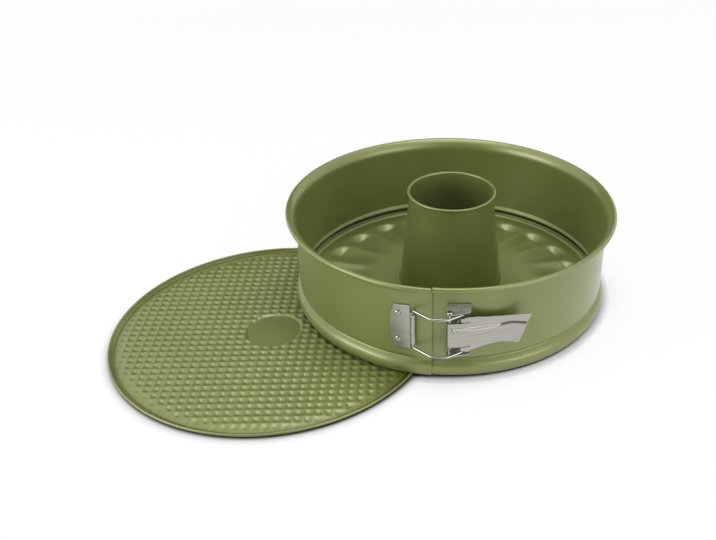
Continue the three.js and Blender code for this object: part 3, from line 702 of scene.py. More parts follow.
def band_shell():
    """The strip with its thickness, once round to its outer end, and the end under the lap, which has the
    strip's section without flare and bead."""
    start = 2 * SEAM_GAP / WALL_OUTER_R
    near = 2 * math.pi - np.linspace(LAP_FINE, 0, 40) / WALL_OUTER_R
    azimuths = np.concatenate([np.linspace(start, near[0], 300)[:-1], near])
    line = band_line(azimuths)
    steps, count = line.shape[:2]
    section = sheet_section(line, SHEET)
    strip = carried_round(section[..., 0], section[..., 1], azimuths)
    low = len(WALL_HEIGHTS)
    walls = grid_faces(steps, 2 * count, close_columns=True)
    cap = strip_cap(count)
    strip_faces = np.concatenate([walls, cap[low - 1 :], cap + (steps - 1) * 2 * count])

    under = np.linspace(-LAP / WALL_OUTER_R, start, 12)
    section = sheet_section(line[:1, :low], SHEET)
    tongue = carried_round(section[..., 0], section[..., 1], under)
    walls = grid_faces(len(under), 2 * low, close_columns=True)
    return joined((strip, strip_faces), (tongue, np.concatenate([walls, strip_cap(low)])))


class MOULD_OT_band(bpy.types.Operator):
    """Makes the sprung band"""

    bl_idname = "mould.band"
    bl_label = "Band"

    def execute(self, context):
        finish = stove_coated_steel(context.scene.mould_colours)
        make_piece("band_strip", band_shell(), finish, "hoop", ["band"])
        return {"FINISHED"}


# Ring base


def lobe_end(u):
    """A scoop's outer end, elliptical on the plan: the outer radius less the rounding times
    1 - sqrt(1 - u^2), with u from -1 to 1 across the scoop."""
    return LOBE_OUTER_R - LOBE_ROUND * (1 - np.sqrt(1 - u * u))


def dish_height(r, u):
    """Top of the dish: a plain margin, less scoops. Across, a scoop is a parabola in its distance from the
    ridge, which is rounded by sqrt(d^2 + e^2) - e. It deepens outwards and ends in an S-shaped slope."""
    off = 1 - np.abs(u)
    eased = np.sqrt(off**2 + RIDGE_ROUND**2) - RIDGE_ROUND
    eased = eased / (math.sqrt(1 + RIDGE_ROUND**2) - RIDGE_ROUND)
    rise = smooth(r, LOBE_INNER_R, LOBE_INNER_R + LOBE_FADE)
    end = np.clip((lobe_end(u) - r) / LOBE_END, 0, 1)
    depth = LOBE_DEPTH * (1 - (1 - eased) ** 2) * rise * smooth(end, 0, 1)
    lip = smooth(r, MARGIN_R, BASE_R - HEM_FOLD)
    return DISH_MARGIN_Z - depth + lip * (HEM_Z + HEM_STEP - DISH_MARGIN_Z)


def dish_shell(lobes):
    """The dish's section at each azimuth, under side out, round the hem and back over the top. The rings
    follow the scoops' round ends."""
    u = np.tile(np.linspace(-1, 1, LOBE_ACROSS, endpoint=False), lobes)[:, None]
    azimuths = np.linspace(0, 2 * math.pi, lobes * LOBE_ACROSS, endpoint=False)
    end = lobe_end(u)
    slope = end - LOBE_END
    flat = np.linspace(DISH_HOLE_R, LOBE_INNER_R, 4)[None, :] + 0 * u
    scoop = LOBE_INNER_R + (slope - LOBE_INNER_R) * np.linspace(0, 1, 22)[None, 1:-1]
    wall = end - LOBE_END * np.linspace(1, 0, 18)[None, :]
    margin = end + (MARGIN_R - end) * np.linspace(0, 1, 6)[None, 1:]
    lip = np.linspace(MARGIN_R, BASE_R - HEM_FOLD, 6)[None, 1:] + 0 * u
    radii = np.concatenate([flat, scoop, wall, margin, lip], axis=1)
    top = dish_height(radii, u)
    hem = arc((BASE_R - HEM_HALF, HEM_Z), HEM_HALF, -math.pi / 2, HEM_END, count=13)
    dip = np.array([[BASE_R - 2 * HEM_HALF, HEM_Z + HEM_DIP]])
    fold = arc((BASE_R - HEM_FOLD + FOLD_R, HEM_Z + HEM_DIP), FOLD_R, FOLD_START, math.pi, count=7)
    edge = np.concatenate([hem, dip, fold])
    r = np.concatenate([radii, edge[None, :, 0] + 0 * u, radii[:, ::-1]], axis=1)
    z = np.concatenate([top - SHEET, edge[None, :, 1] + 0 * u, top[:, ::-1]], axis=1)
    points = carried_round(r, z, azimuths)
    return points, grid_faces(len(azimuths), r.shape[1], True, True)


def chimney_profile(high):
    """The tube's closed section, and the ends of its inner line: flange under the dish, neck, lip over it,
    rounded foot, straight taper and rolled top."""
    low = DISH_MARGIN_Z - SHEET - PLAY
    over = DISH_MARGIN_Z + PLAY
    neck = DISH_HOLE_R - PLAY
    foot = [
        [CHIMNEY_FOOT_R - SHEET, low - SHEET],
        [CHIMNEY_FLANGE_R, low - SHEET],
        [CHIMNEY_FLANGE_R, low],
        [neck, low],
        [neck, over],
    ]
    lip_centre = (CHIMNEY_FLANGE_R - SHEET / 2, over + SHEET / 2)
    lip = arc(lip_centre, SHEET / 2, -math.pi / 2, math.pi / 2, count=7)
    rounding = CHIMNEY_FOOT_ROUND
    flare_centre = (CHIMNEY_FOOT_R + rounding, over + SHEET + rounding)
    flare = arc(flare_centre, rounding, math.pi * 1.5, CHIMNEY_FOOT_END, count=8)
    bead_centre = (CHIMNEY_TOP_R - SHEET + CHIMNEY_BEAD_R, high - CHIMNEY_BEAD_R)
    roll = arc(bead_centre, CHIMNEY_BEAD_R, CHIMNEY_BEAD_START, math.pi, count=18)
    outside = np.linspace(flare[-1], roll[0], 8)[1:-1]
    inner_foot = np.array([CHIMNEY_FOOT_R - SHEET, over + CHIMNEY_FLARE])
    inside = np.linspace(roll[-1], inner_foot, 8)[1:]
    return np.concatenate([foot, lip, flare, outside, roll, inside]), roll[-1], inner_foot


def chimney_seam(top, foot):
    """The folded seam inside at the back: a low rounded strip carried down the taper, bent to its radius."""
    t = np.linspace(SEAM_START, 1, 24)[:, None]
    r = top[0] + (foot[0] - top[0]) * t
    z = top[1] + (foot[1] - top[1]) * t
    section = np.concatenate([SEAM_SIDE, SEAM_SIDE[-2::-1] * (-1, 1)])
    x = SEAM_HALF * section[None, :, 0]
    inwards = SEAM_PROUD * section[None, :, 1]
    points = np.stack([x + 0 * r, np.sqrt((r - inwards) ** 2 - x**2), z + 0 * x], -1)
    return points, tube_faces(len(t), len(section))


class MOULD_OT_ring_base(bpy.types.Operator):
    """Makes the scalloped base and its chimney"""

    bl_idname = "mould.ring_base"
    bl_label = "Ring base"

    def execute(self, context):
        sizes = context.scene.mould_sizes
        finish = stove_coated_steel(context.scene.mould_colours)
        dish = dish_shell(sizes.lobes)
        make_piece("scalloped_dish", dish, finish, "ring_base", ["tube_base"])
        profile, top, foot = chimney_profile(sizes.chimney_height / MM)
        chimney = turned(profile, CHIMNEY_SIDES)
        make_piece("chimney_tube", chimney, finish, "ring_base", ["chimney"])
        make_piece("chimney_fold", chimney_seam(top, foot), finish, "ring_base")
        return {"FINISHED"}


# Flat base


def flat_plate():
    """The plate's section, turned round: flat panel, a crease, sloping rim and rolled hem."""
    centre = (BASE_R - FLAT_HEM_R, FLAT_RIM_Z - FLAT_HEM_R)
    hem = arc(centre, FLAT_HEM_R, -math.pi / 2, math.pi, count=16)
    foot = FLAT_RIM_FOOT_R
    halfway = foot / 2
    under = [[FLAT_HUB_R, 0.0], [halfway, 0.0], [foot - FLAT_RIM_SOFT, 0.0], [foot, FLAT_RIM_SOFT / 4]]
    out = [[foot + FLAT_RIM_RUN, FLAT_RIM_Z - 2 * FLAT_HEM_R]]
    inner = BASE_R - 2 * FLAT_HEM_R - FLAT_RIM_RUN
    back = [
        [inner, FLAT_PANEL],
        [inner, FLAT_CREASE_Z],
        [inner - FLAT_CREASE, FLAT_CREASE_Z],
        [inner - FLAT_CREASE - FLAT_RIM_SOFT / 4, FLAT_PANEL],
        [halfway, FLAT_PANEL],
        [FLAT_HUB_R, FLAT_PANEL],
    ]
    return capped_turn(np.concatenate([under, out, hem, back]), FLAT_SIDES)


def waffle(pitch, height):
    """Every cell of a ring-shaped field of square pits between ridges: the height times 3n^2 - 2n^3, with n
    the 5-norm of the place in the cell. Both edges of the field are round: there the ridges sink into the
    panel, and what would lie wholly under its face is left out."""
    reach = math.ceil(WAFFLE_OUTER_R / pitch) + 1
    i, j = np.meshgrid(np.arange(-reach, reach), np.arange(-reach, reach), indexing="ij")
    r = np.hypot(i + 0.5, j + 0.5) * pitch
    cells = np.stack([i, j], -1)[np.abs(r - WAFFLE_MIDDLE_R) < WAFFLE_SPREAD + pitch] + 0.5
    side = np.linspace(-1, 1, WAFFLE_SIDE)
    u, v = np.meshgrid(side, side, indexing="ij")
    ridge = smooth((np.abs(u) ** WAFFLE_NORM + np.abs(v) ** WAFFLE_NORM) ** (1 / WAFFLE_NORM), 0, 1)
    x = (cells[:, 0, None, None] + u / 2) * pitch
    y = (cells[:, 1, None, None] + v / 2) * pitch
    place = np.hypot(x, y)
    pulled = np.minimum(1, WAFFLE_OUTER_R / place)
    x = x * pulled
    y = y * pulled
    inside = smooth(place, WAFFLE_INNER_R, WAFFLE_INNER_R + WAFFLE_FADE[0])
    inside = inside * (1 - smooth(place, WAFFLE_OUTER_R - WAFFLE_FADE[1], WAFFLE_OUTER_R))
    z = FLAT_PANEL - WAFFLE_SUNK + (2 * WAFFLE_SUNK + ridge * height) * inside
    c = math.cos(WAFFLE_TURN)
    s = math.sin(WAFFLE_TURN)
    points = np.stack([c * x - s * y, s * x + c * y, z], -1)
    cell_faces = grid_faces(WAFFLE_SIDE, WAFFLE_SIDE)[:, ::-1]
    shown = (inside.reshape(len(cells), -1)[:, cell_faces] > 0).any(-1)
    faces = cell_faces[None] + (np.arange(len(cells)) * WAFFLE_SIDE**2)[:, None, None]
    used, faces = np.unique(faces[shown], return_inverse=True)
    return points.reshape(-1, 3)[used], faces.reshape(-1, 4)


class MOULD_OT_flat_base(bpy.types.Operator):
    """Makes the loose flat base with its waffle"""

    bl_idname = "mould.flat_base"
    bl_label = "Flat base"

    def execute(self, context):
        sizes = context.scene.mould_sizes
        finish = stove_coated_steel(context.scene.mould_colours)
        plate = flat_plate()
        make_piece("flat_plate", plate, finish, "spare_base", ["flat_base"], settle_flat)
        field = waffle(sizes.waffle_pitch / MM, sizes.waffle_height / MM)
        make_piece(
            "flat_waffle",
            field,
            finish,
            "spare_base",
            place=settle_flat,
            sharp=WAFFLE_SHARP,
            outwards=False,
        )
        return {"FINISHED"}


# Clasp


def sheet_grid(lines, heights):
    """A sheet standing on plan lines: one plan line and one row of heights for each row of the grid."""
    plan = np.broadcast_to(lines, (*heights.shape, 2))
    return np.concatenate([plan, heights[..., None] + CLASP_Z], -1)


def hinge_plate_sheet():
    """The plate's outer face on the wall's curve, its left edge bowed by the square of the height, its
    straight edge rolled into a barrel: a grid up and along, with nothing above or below the barrel."""
    hinge = on_plan(*HINGE_A)
    face = PLATE_INNER_R + PLATE
    along = np.linspace(PLATE_LEFT, PLATE_RIGHT, 24)
    plate = on_plan(along, face)
    meets = [hinge[0] - BARREL_NECK[0], hinge[1] + HINGE_A_BORE + BARREL_NECK[1]]
    web = np.linspace(plate[-1], meets, 6)[1:]
    barrel = np.concatenate([web, arc(hinge, HINGE_A_BORE, *BARREL_ROLL, count=22)])
    t = np.linspace(-1, 1, 41)[:, None]
    x = np.clip((plate[:, 0] - plate[0, 0]) / (plate[-1, 0] - plate[0, 0]), 0, 1)
    half = np.concatenate([PLATE_HALF - PLATE_CORNER * (1 - x), np.full(len(barrel), PLATE_HALF)])
    heights = t * half[None, :]
    width = PLATE_RIGHT - PLATE_LEFT
    bow = PLATE_BOW * (np.abs(t) ** 2)
    bowed = on_plan(PLATE_RIGHT - (PLATE_RIGHT - along[None, :]) * (width - bow) / width, face)
    lines = np.concatenate([bowed, np.broadcast_to(barrel, (len(t), *barrel.shape))], 1)
    edge = np.nonzero(np.abs(heights[:, -1]) <= BARREL_HALF)[0]
    heights[edge[0], len(plate) :] = -BARREL_HALF
    heights[edge[-1], len(plate) :] = BARREL_HALF
    kept = np.ones((heights.shape[0] - 1, heights.shape[1] - 1), bool)
    kept[: edge[0], len(plate) - 1 :] = False
    kept[edge[-1] :, len(plate) - 1 :] = False
    return sheet_grid(lines, heights), faces_where(kept)


def rivet_profile(stack):
    """A dimpled dome outside, a shank and an upset tail inside, from the tail's middle to the dimple's. The
    dome is a quarter of an ellipse less an S-shaped step."""
    seat = stack + PLAY
    tail_r = RIVET_R + RIVET_TAIL
    tail = [
        [RIVET_TIP_R, -RIVET_TAIL],
        [tail_r - RIVET_CHAMFER, -RIVET_TAIL],
        [tail_r, -RIVET_TAIL + RIVET_CHAMFER],
        [tail_r, -PLAY],
        [RIVET_R, -PLAY],
        [RIVET_R, seat],
    ]
    t = np.linspace(0, 1, 14)
    dome_r = RIVET_HEAD_R * np.cos(t * math.pi / 2)
    dome_z = seat + RIVET_DOME * (np.sin(t * math.pi / 2) - RIVET_DIMPLE * smooth(t, *RIVET_DIMPLE_SLOPE))
    dome_r[-1] = RIVET_TIP_R
    return np.concatenate([tail, np.stack([dome_r, dome_z], 1)])


def on_wall(points, along, height, offset):
    """Stands points that rise along +Z on the band's inner face, pointing outwards."""
    x, y, z = np.asarray(points, float).reshape(-1, 3).T
    out = WALL_OUTER_R - SHEET + offset + z
    a = along / WALL_OUTER_R
    across = out * math.sin(a) + x * math.cos(a)
    deep = -out * math.cos(a) + x * math.sin(a)
    return np.stack([across, deep, y + height + CLASP_Z], 1)


class MOULD_OT_hinge_plate(bpy.types.Operator):
    """Makes the riveted plate that the bail hinges in"""

    bl_idname = "mould.hinge_plate"
    bl_label = "Hinge plate"

    def execute(self, context):
        steel = brushed_plated_steel(context.scene.mould_colours)
        sheet = hinge_plate_sheet()
        piece = make_piece(
            "hinge_sheet", sheet, steel, "hoop", ["hinge_plate"], outwards=False
        )
        thicken(piece, PLATE, PLATE_EDGE)
        for name, (place, height) in HINGE_RIVETS.items():
            points, faces = capped_turn(rivet_profile(SHEET + PLAY + PLATE), RIVET_SIDES)
            stood = on_wall(points, place, height, LAP_OFFSET)
            title = name.replace("rivet", "stud")
            make_piece(title, (stood, faces), steel, "hoop", [name])
        return {"FINISHED"}


def bail_route():
    """The wire's corners: an end in each hook, two arms kinked twice by the pivot, the hinge between."""
    hinge = on_plan(*HINGE_A)
    hook = on_plan(*HOOK_C)
    kinks = [on_plan(*HINGE_B) + kink for kink in ARM_KINKS]
    arm = [[*place, ARM_HALF] for place in (hook, *kinks, hinge)]
    upper = [[*hook, TONGUE_HALF + WIRE_END], *arm]
    return np.array(upper + [[x, y, -z] for x, y, z in upper[::-1]])


def tube(path, radius, steps, sides):
    """A round wire along a path: a circle about it between two normals, one of them Y less its part along the
    path. Its ends are narrowed."""
    line = evenly(path, steps)
    ahead = np.gradient(line, axis=0)
    ahead /= np.linalg.norm(ahead, axis=1, keepdims=True)
    normal = np.array([0.0, 1.0, 0.0]) - ahead[:, 1:2] * ahead
    normal /= np.linalg.norm(normal, axis=1, keepdims=True)
    other = np.cross(ahead, normal)
    angle = np.linspace(0, 2 * math.pi, sides, endpoint=False)[None, :, None]
    ring = normal[:, None] * np.cos(angle) + other[:, None] * np.sin(angle)
    ends = np.concatenate([[WIRE_TIP], np.ones(steps - 2), [WIRE_TIP]])[:, None, None]
    return line[:, None] + ring * radius * ends, tube_faces(steps, sides)


class MOULD_OT_bail(bpy.types.Operator):
    """Makes the wire bail"""

    bl_idname = "mould.bail"
    bl_label = "Bail"

    def execute(self, context):
        route = bent(bail_route(), BEND)
        route[:, 2] += CLASP_Z
        wire = tube(route, WIRE_R, WIRE_STEPS, WIRE_SIDES)
        steel = drawn_wire_steel(context.scene.mould_colours)
        make_piece("bail_wire", wire, steel, "clasp_bail", ["wire_bail"])
        return {"FINISHED"}


def lever_lines(tongue_steps, web_steps):
    """Plan lines of the lever's outer face: the tongue's from its roll, the hooks' from their curl, and the
    web's, and where along X the lever steps out past the hooks."""
    pivot = on_plan(*HINGE_B)
    hook_middle = on_plan(*HOOK_C)
    start = pivot + (0, -PIN_BORE - LEVER_SHEET)
    over = hook_middle + (0, -HOOK_BORE - LEVER_SHEET)
    curve = spline([start, over, *[on_plan(*p) for p in LEVER_ROUTE]], 600)
    step = hook_middle[0] + HOOK_STEP
    meet = step + SLIT
    before = curve[curve[:, 0] < meet]
    web = evenly(curve[curve[:, 0] >= meet], web_steps)
    roll = arc(pivot, PIN_BORE + LEVER_SHEET, *TONGUE_ROLL, count=60)[:-1]
    curl = arc(hook_middle, HOOK_BORE + LEVER_SHEET, *HOOK_ROLL, count=30)[:-1]
    tongue = evenly(np.concatenate([roll, before, web[:1]]), tongue_steps)[:-1]
    past_hook = before[before[:, 0] > hook_middle[0]]
    hook = evenly(np.concatenate([curl, past_hook, web[:1]]), tongue_steps)[:-1]
    return tongue, hook, web, step


def lever_rows():
    """Row heights where the lever is widest: lower hook, slit, tongue, slit, upper hook."""
    hook = np.linspace(TONGUE_HALF + SLIT_HIGH, LEVER_HALF, 9)
    tongue = np.linspace(-TONGUE_HALF, TONGUE_HALF, 91)
    return np.concatenate([-hook[::-1], tongue, hook])


def lever_sheet(rib_height):
    """The lever's outer face: a grid of rows by places along it. The rib is a raised cosine across its route,
    which turns into a narrower and deeper groove, 1 - d^2, towards the tip, and the pip by the pivot is a
    Gauss bell. The tip slants back towards its lower edge."""
    tongue, hook, web, step = lever_lines(90, 130)
    rows = lever_rows()
    slit_top = TONGUE_HALF + SLIT_HIGH
    is_hook = np.abs(rows) > TONGUE_HALF + SLIT_HIGH / 2
    left = np.where(is_hook[:, None, None], hook[None], tongue[None])
    lines = np.concatenate([left, np.broadcast_to(web, (len(rows), *web.shape))], 1)
    left_part = np.arange(lines.shape[1]) < len(tongue)
    past = np.clip(lines[..., 0] - step, 0, None)
    reach = web[-1, 0] - step
    share = ((rows + LEVER_HALF) / (2 * LEVER_HALF))[:, None]
    upper = np.interp(past[-1], UPPER_EDGE[:, 0] * reach / UPPER_EDGE[-1, 0], UPPER_EDGE[:, 1])
    lower = np.interp(past[0], LOWER_EDGE[:, 0] * reach / UPPER_EDGE[-1, 0], LOWER_EDGE[:, 1])
    heights = np.where(left_part[None, :], rows[:, None], lower[None] + (upper - lower)[None] * share)
    limit = HOOK_HALF + (LEVER_HALF - HOOK_HALF) * smooth(past, 0, 2 * SLIT_HIGH)
    narrowed = (np.abs(rows)[:, None] - slit_top) * (limit - slit_top) / (LEVER_HALF - slit_top)
    hooked = np.sign(rows)[:, None] * (slit_top + narrowed)
    heights = np.where(left_part[None, :] & is_hook[:, None], hooked, heights)

    middle = len(rows) // 2
    length = np.concatenate([[0], np.cumsum(np.linalg.norm(np.diff(lines[middle], axis=0), axis=1))])
    length = length - (TONGUE_ROLL[1] - TONGUE_ROLL[0]) * (PIN_BORE + LEVER_SHEET)
    along = length / length[-1]
    route = spline(RIB_ROUTE, 200)
    off = np.clip((heights - np.interp(along, route[:, 0], route[:, 1])[None]) / RIB_HALF, -1, 1)
    ends = smooth(along, RIB_START, RIB_START + RIB_END) * (1 - smooth(along, RIB_STOP, RIB_STOP + RIB_END))
    ends = ends * (1 - 2 * smooth(along, *RIB_TURNS))
    ridge = np.cos(off * math.pi / 2) ** 2
    groove = 1 - np.clip(off / RIB_GROOVE_WIDTH, -1, 1) ** 2
    rib = rib_height * ends[None] * np.where(ends > 0, ridge, groove * RIB_GROOVE_DEPTH)
    spot = (length[None] - PIP_AT[0]) ** 2 + (heights - PIP_AT[1]) ** 2
    pip = PIP_HIGH * np.exp(-spot / PIP_R**2)
    lines = lines + side_of(lines) * (rib + pip)[..., None]
    lines[..., 0] -= smooth(past / reach, TIP_START, 1.0) * TIP_SLANT * (1 - share)
    kept = np.ones((heights.shape[0] - 1, heights.shape[1] - 1), bool)
    kept[np.nonzero(is_hook[:-1] != is_hook[1:])[0], : len(tongue)] = False
    return sheet_grid(lines, heights), faces_where(kept)


class MOULD_OT_lever(bpy.types.Operator):
    """Makes the pressed lever"""

    bl_idname = "mould.lever"
    bl_label = "Lever"

    def execute(self, context):
        sheet = lever_sheet(context.scene.mould_sizes.rib_height / MM)
        steel = brushed_plated_steel(context.scene.mould_colours)
        piece = make_piece(
            "lever_pressing", sheet, steel, "clasp_lever", ["lever"], outwards=False
        )
        thicken(piece, LEVER_SHEET, LEVER_EDGE)
        return {"FINISHED"}


def bracket_channel():
    """A channel: a plate on the wall's curve between two ears, whose outline runs along the wall, out to a
    blunt corner and round the pivot. The ears slope away from the wall, crown times 1 less distance over
    reach, and then run level; a crease shaped as a Gauss bell halves the slope's height. Each is a grid
    between the wall and its outline, closed round its thickness."""
    inner = WALL_OUTER_R + PLAY
    along = np.linspace(BRACKET_LEFT, BRACKET_RIGHT, 8)
    wall = on_plan(along, inner)
    face = on_plan(along, inner + PLATE)
    corner = np.array([on_plan(*place) for place in EAR_CORNER])[::-1]
    round_pivot = arc(on_plan(*HINGE_B), EAR_R, EAR_ROLL[1], EAR_ROLL[0], count=16)
    outline = np.concatenate([wall[-1:], corner, round_pivot, wall[:1]])
    high = EAR_HALF + PLATE + EAR_CROWN
    back = raised(np.concatenate([wall, face[::-1]]), -high, high)
    out = np.linspace(0, 1, EAR_ACROSS)[None, :, None]
    plan = evenly(wall[::-1], EAR_STEPS)[:, None] * (1 - out) + evenly(outline, EAR_STEPS)[:, None] * out
    lift = EAR_CROWN * (1 - (np.linalg.norm(plan, axis=-1, keepdims=True) - inner) / EAR_REACH)
    from_crease = (np.linspace(0, 1, EAR_STEPS) - EAR_CREASE[0]) / EAR_CREASE[1]
    crease = np.exp(-(from_crease**2))[:, None, None]
    lift = lift - np.maximum(lift, 0) * crease / 2
    under = np.concatenate([plan, EAR_HALF + np.maximum(lift, EAR_DROP)], -1)
    upper = np.concatenate([under + (0, 0, PLATE), under[:, ::-1]], 1)
    faces = tube_faces(EAR_STEPS, 2 * EAR_ACROSS)
    return joined(back, (upper, faces), (upper * (1, 1, -1), faces))


def pin_profile():
    """The pivot pin from head to head: a shank between two domes, each a quarter of an ellipse."""
    seat = EAR_HALF + PLATE + EAR_DROP + PLAY
    dome = arc((0, 0), 1, 0, PIN_DOME_END, count=9) * (PIN_R + PIN_HEAD, PIN_DOME) + (0, seat)
    half = np.concatenate([[[PIN_R, seat]], dome])
    return np.concatenate([(half * (1, -1))[::-1], half])


class MOULD_OT_bracket(bpy.types.Operator):
    """Makes the bracket and its pivot pin, and finishes its rivets"""

    bl_idname = "mould.bracket"
    bl_label = "Bracket and pin"

    def execute(self, context):
        steel = brushed_plated_steel(context.scene.mould_colours, "dull_plated_steel", (0.55, 0.65))
        for name in ("bracket_rivet_upper", "bracket_rivet_lower"):
            for place in frame["nodes"][name].material_slots:
                place.material = steel
        points, faces = bracket_channel()
        channel = (points + (0, 0, CLASP_Z), faces)
        piece = make_piece("bracket_channel", channel, steel, "hoop", ["lever_bracket"])
        soften(piece, EAR_EDGE)
        points, faces = capped_turn(pin_profile(), PIN_SIDES)
        wire = drawn_wire_steel(context.scene.mould_colours)
        make_piece("pivot_stem", (points + PIVOT, faces), wire, "hoop", ["pivot_pin"])
        return {"FINISHED"}


# Stage


def area_lamp(name, place, size, power):
    """A soft rectangular studio lamp that points at the middle of the set."""
    data = bpy.data.lights.new(name, "AREA")
    data.shape = "RECTANGLE"
    data.size = size[0]
    data.size_y = size[1]
    data.energy = power
    lamp = bpy.data.objects.new(name, data)
    bpy.context.scene.collection.objects.link(lamp)
    lamp.location = place
    lamp.rotation_euler = (Vector(LAMP_TARGET) - Vector(place)).to_track_quat("-Z", "Y").to_euler()


def photo_camera():
    """The camera that took the photograph: back from the mould's axis, up, and pitched down at it."""
    data = bpy.data.cameras.new("photo_camera")
    data.sensor_width = SENSOR
    data.lens = FOCAL_PX * SENSOR / FRAME_WIDTH
    data.shift_x = -(PRINCIPAL_X - FRAME_WIDTH / 2) / FRAME_WIDTH
    camera = bpy.data.objects.new("photo_camera", data)
    bpy.context.scene.collection.objects.link(camera)
    place = Vector((ORIGIN[0], ORIGIN[1], 0))
    back = Vector((math.sin(CAMERA_TURN), -math.cos(CAMERA_TURN), 0)) * CAMERA_BACK * MM
    place = place + back + Vector((0, 0, CAMERA_HIGH * MM))
    turn = Matrix.Rotation(CAMERA_TURN, 4, "Z")
    pitch = Matrix.Rotation(math.pi / 2 - CAMERA_PITCH, 4, "X")
    roll = Matrix.Rotation(-CAMERA_ROLL, 4, "Z")
    camera.matrix_world = Matrix.Translation(place) @ turn @ pitch @ roll
    bpy.context.scene.camera = camera


def plainly_seen(tree):
    """1 for rays from the camera, a reflection or through glass, and 0 for light that falls on things."""
    rays = node(tree, "ShaderNodeLightPath").outputs
    seen = rays["Is Camera Ray"]
    for kind in ("Is Glossy Ray", "Is Transmission Ray"):
        seen = node(tree, "ShaderNodeMath", {0: seen, 1: rays[kind]}, operation="MAXIMUM").outputs["Value"]
    return seen


def matt_table_top(colours):
    """A matt pale board. To the camera and in reflections most of it is white of its own, with a painted
    shadow: that white is dimmed by occlusion close to what stands on it and in closed-in places, as in a
    light tent, and the rest keeps the real shadow."""
    finish, tree = new_finish("matt_table_top")
    look = {"Base Color": (*colours.floor, 1), "Roughness": 0.9, "Specular IOR Level": 0.1}
    shader = node(tree, "ShaderNodeBsdfPrincipled", look)
    # Painted shadow: occlusion dims the white glow at the foot of things and in closed-in places
    near = node(tree, "ShaderNodeAmbientOcclusion", {"Distance": CONTACT}, samples=OCCLUSION_SAMPLES)
    foot = node(tree, "ShaderNodeMath", {0: near.outputs["AO"], 1: CONTACT_POWER}, operation="POWER")
    wide = node(tree, "ShaderNodeAmbientOcclusion", {"Distance": ENCLOSED}, samples=OCCLUSION_SAMPLES)
    span = {"From Min": ENCLOSED_SPAN[0], "From Max": ENCLOSED_SPAN[1]}
    opened = node(tree, "ShaderNodeMapRange", {"Value": wide.outputs["AO"], **span})
    both = {0: foot.outputs["Value"], 1: opened.outputs["Result"]}
    painted_shade = node(tree, "ShaderNodeMath", both, operation="MULTIPLY")
    white = node(tree, "ShaderNodeEmission", {"Color": linear(WHITE), "Strength": painted_shade.outputs["Value"]})
    share = node(tree, "ShaderNodeMath", {0: plainly_seen(tree), 1: WHITE_SHARE}, operation="MULTIPLY")
    mix = {"Fac": share.outputs["Value"], 1: shader.outputs["BSDF"], 2: white.outputs["Emission"]}
    mixed = node(tree, "ShaderNodeMixShader", mix)
    node(tree, "ShaderNodeOutputMaterial", {"Surface": mixed.outputs["Shader"]})
    return finish


def pale_floor(colours):
    """The table top, just under what stands on it."""
    mesh = bpy.data.meshes.new("floor")
    far = FLOOR_HALF
    mesh.from_pydata([(-far, -far, 0), (far, -far, 0), (far, far, 0), (-far, far, 0)], [], [(0, 1, 2, 3)])
    mesh.materials.append(matt_table_top(colours))
    floor = bpy.data.objects.new("floor", mesh)
    floor.location.z = -FLOOR_DROP
    bpy.context.scene.collection.objects.link(floor)


def dark_flags():
    """Upright dark cloths before and behind, which give metal its darks. The camera doesn't see them."""
    mesh = bpy.data.meshes.new("flags")
    low = FLAG_LOW
    corners = [[(*a, low), (*b, low), (*b, high), (*a, high)] for a, b, high in FLAGS]
    mesh.from_pydata(sum(corners, []), [], np.arange(4 * len(FLAGS)).reshape(-1, 4).tolist())
    flag = bpy.data.objects.new("flags", mesh)
    flag.visible_camera = False
    bpy.context.scene.collection.objects.link(flag)
    finish, tree = new_finish("dark_cloth")
    shader = node(tree, "ShaderNodeBsdfPrincipled", {"Base Color": linear("#2c2c2c"), "Roughness": 1.0})
    node(tree, "ShaderNodeOutputMaterial", {"Surface": shader.outputs["BSDF"]})
    mesh.materials.append(finish)


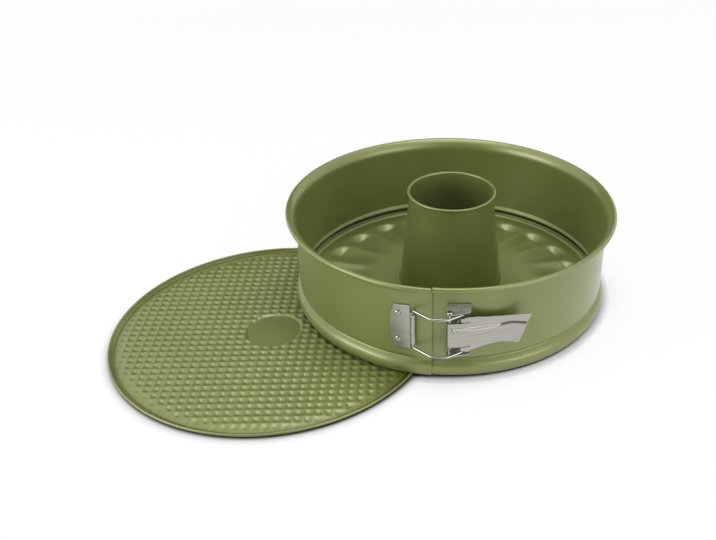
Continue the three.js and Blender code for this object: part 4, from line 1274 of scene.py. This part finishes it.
def studio_world():
    """White all round, as in a light tent: full white to the camera and in reflections, and plain fill
    otherwise."""
    world = bpy.data.worlds.new("studio")
    bpy.context.scene.world = world
    world.use_nodes = True
    tree = world.node_tree
    tree.nodes.clear()
    seen = node(tree, "ShaderNodeBackground", {"Color": linear(WHITE), "Strength": 1.0})
    fill = node(tree, "ShaderNodeBackground", {"Color": linear(WHITE), "Strength": FILL})
    mix = {"Fac": plainly_seen(tree), 1: fill.outputs["Background"], 2: seen.outputs["Background"]}
    mixed = node(tree, "ShaderNodeMixShader", mix)
    node(tree, "ShaderNodeOutputWorld", {"Surface": mixed.outputs["Shader"]})


class MOULD_OT_stage(bpy.types.Operator):
    """Makes the floor, the light and the camera"""

    bl_idname = "mould.stage"
    bl_label = "Stage"

    def execute(self, context):
        context.scene.view_settings.view_transform = "Standard"
        photo_camera()
        pale_floor(context.scene.mould_colours)
        studio_world()
        dark_flags()
        for name, (place, size, power) in LAMPS.items():
            area_lamp(name, place, size, power)
        return {"FINISHED"}


class MOULD_PT_panel(bpy.types.Panel):
    """Lists the mould's operators, sizes and colours"""

    bl_idname = "MOULD_PT_panel"
    bl_label = "Springform mould"
    bl_space_type = "VIEW_3D"
    bl_region_type = "UI"
    bl_category = "Mould"

    def draw(self, context):
        layout = self.layout
        for group in (context.scene.mould_sizes, context.scene.mould_colours):
            for name in group.__annotations__:
                layout.prop(group, name)
        for operator in OPERATORS:
            layout.operator(operator.bl_idname)


OPERATORS = (
    MOULD_OT_stage,
    MOULD_OT_band,
    MOULD_OT_ring_base,
    MOULD_OT_flat_base,
    MOULD_OT_hinge_plate,
    MOULD_OT_bail,
    MOULD_OT_lever,
    MOULD_OT_bracket,
)
CLASSES = (MouldSizes, MouldColours, *OPERATORS, MOULD_PT_panel)


def register():
    """Adds the classes, and the sizes and colours to the scene."""
    for item in CLASSES:
        bpy.utils.register_class(item)
    bpy.types.Scene.mould_sizes = PointerProperty(type=MouldSizes)
    bpy.types.Scene.mould_colours = PointerProperty(type=MouldColours)


def unregister():
    """Takes them away again."""
    del bpy.types.Scene.mould_colours
    del bpy.types.Scene.mould_sizes
    for item in reversed(CLASSES):
        bpy.utils.unregister_class(item)


def main():
    """Makes every piece and the stage."""
    register()
    for operator in OPERATORS:
        group, name = operator.bl_idname.split(".")
        getattr(getattr(bpy.ops, group), name)()
    bpy.context.view_layer.update()


if __name__ == "__main__":
    main()
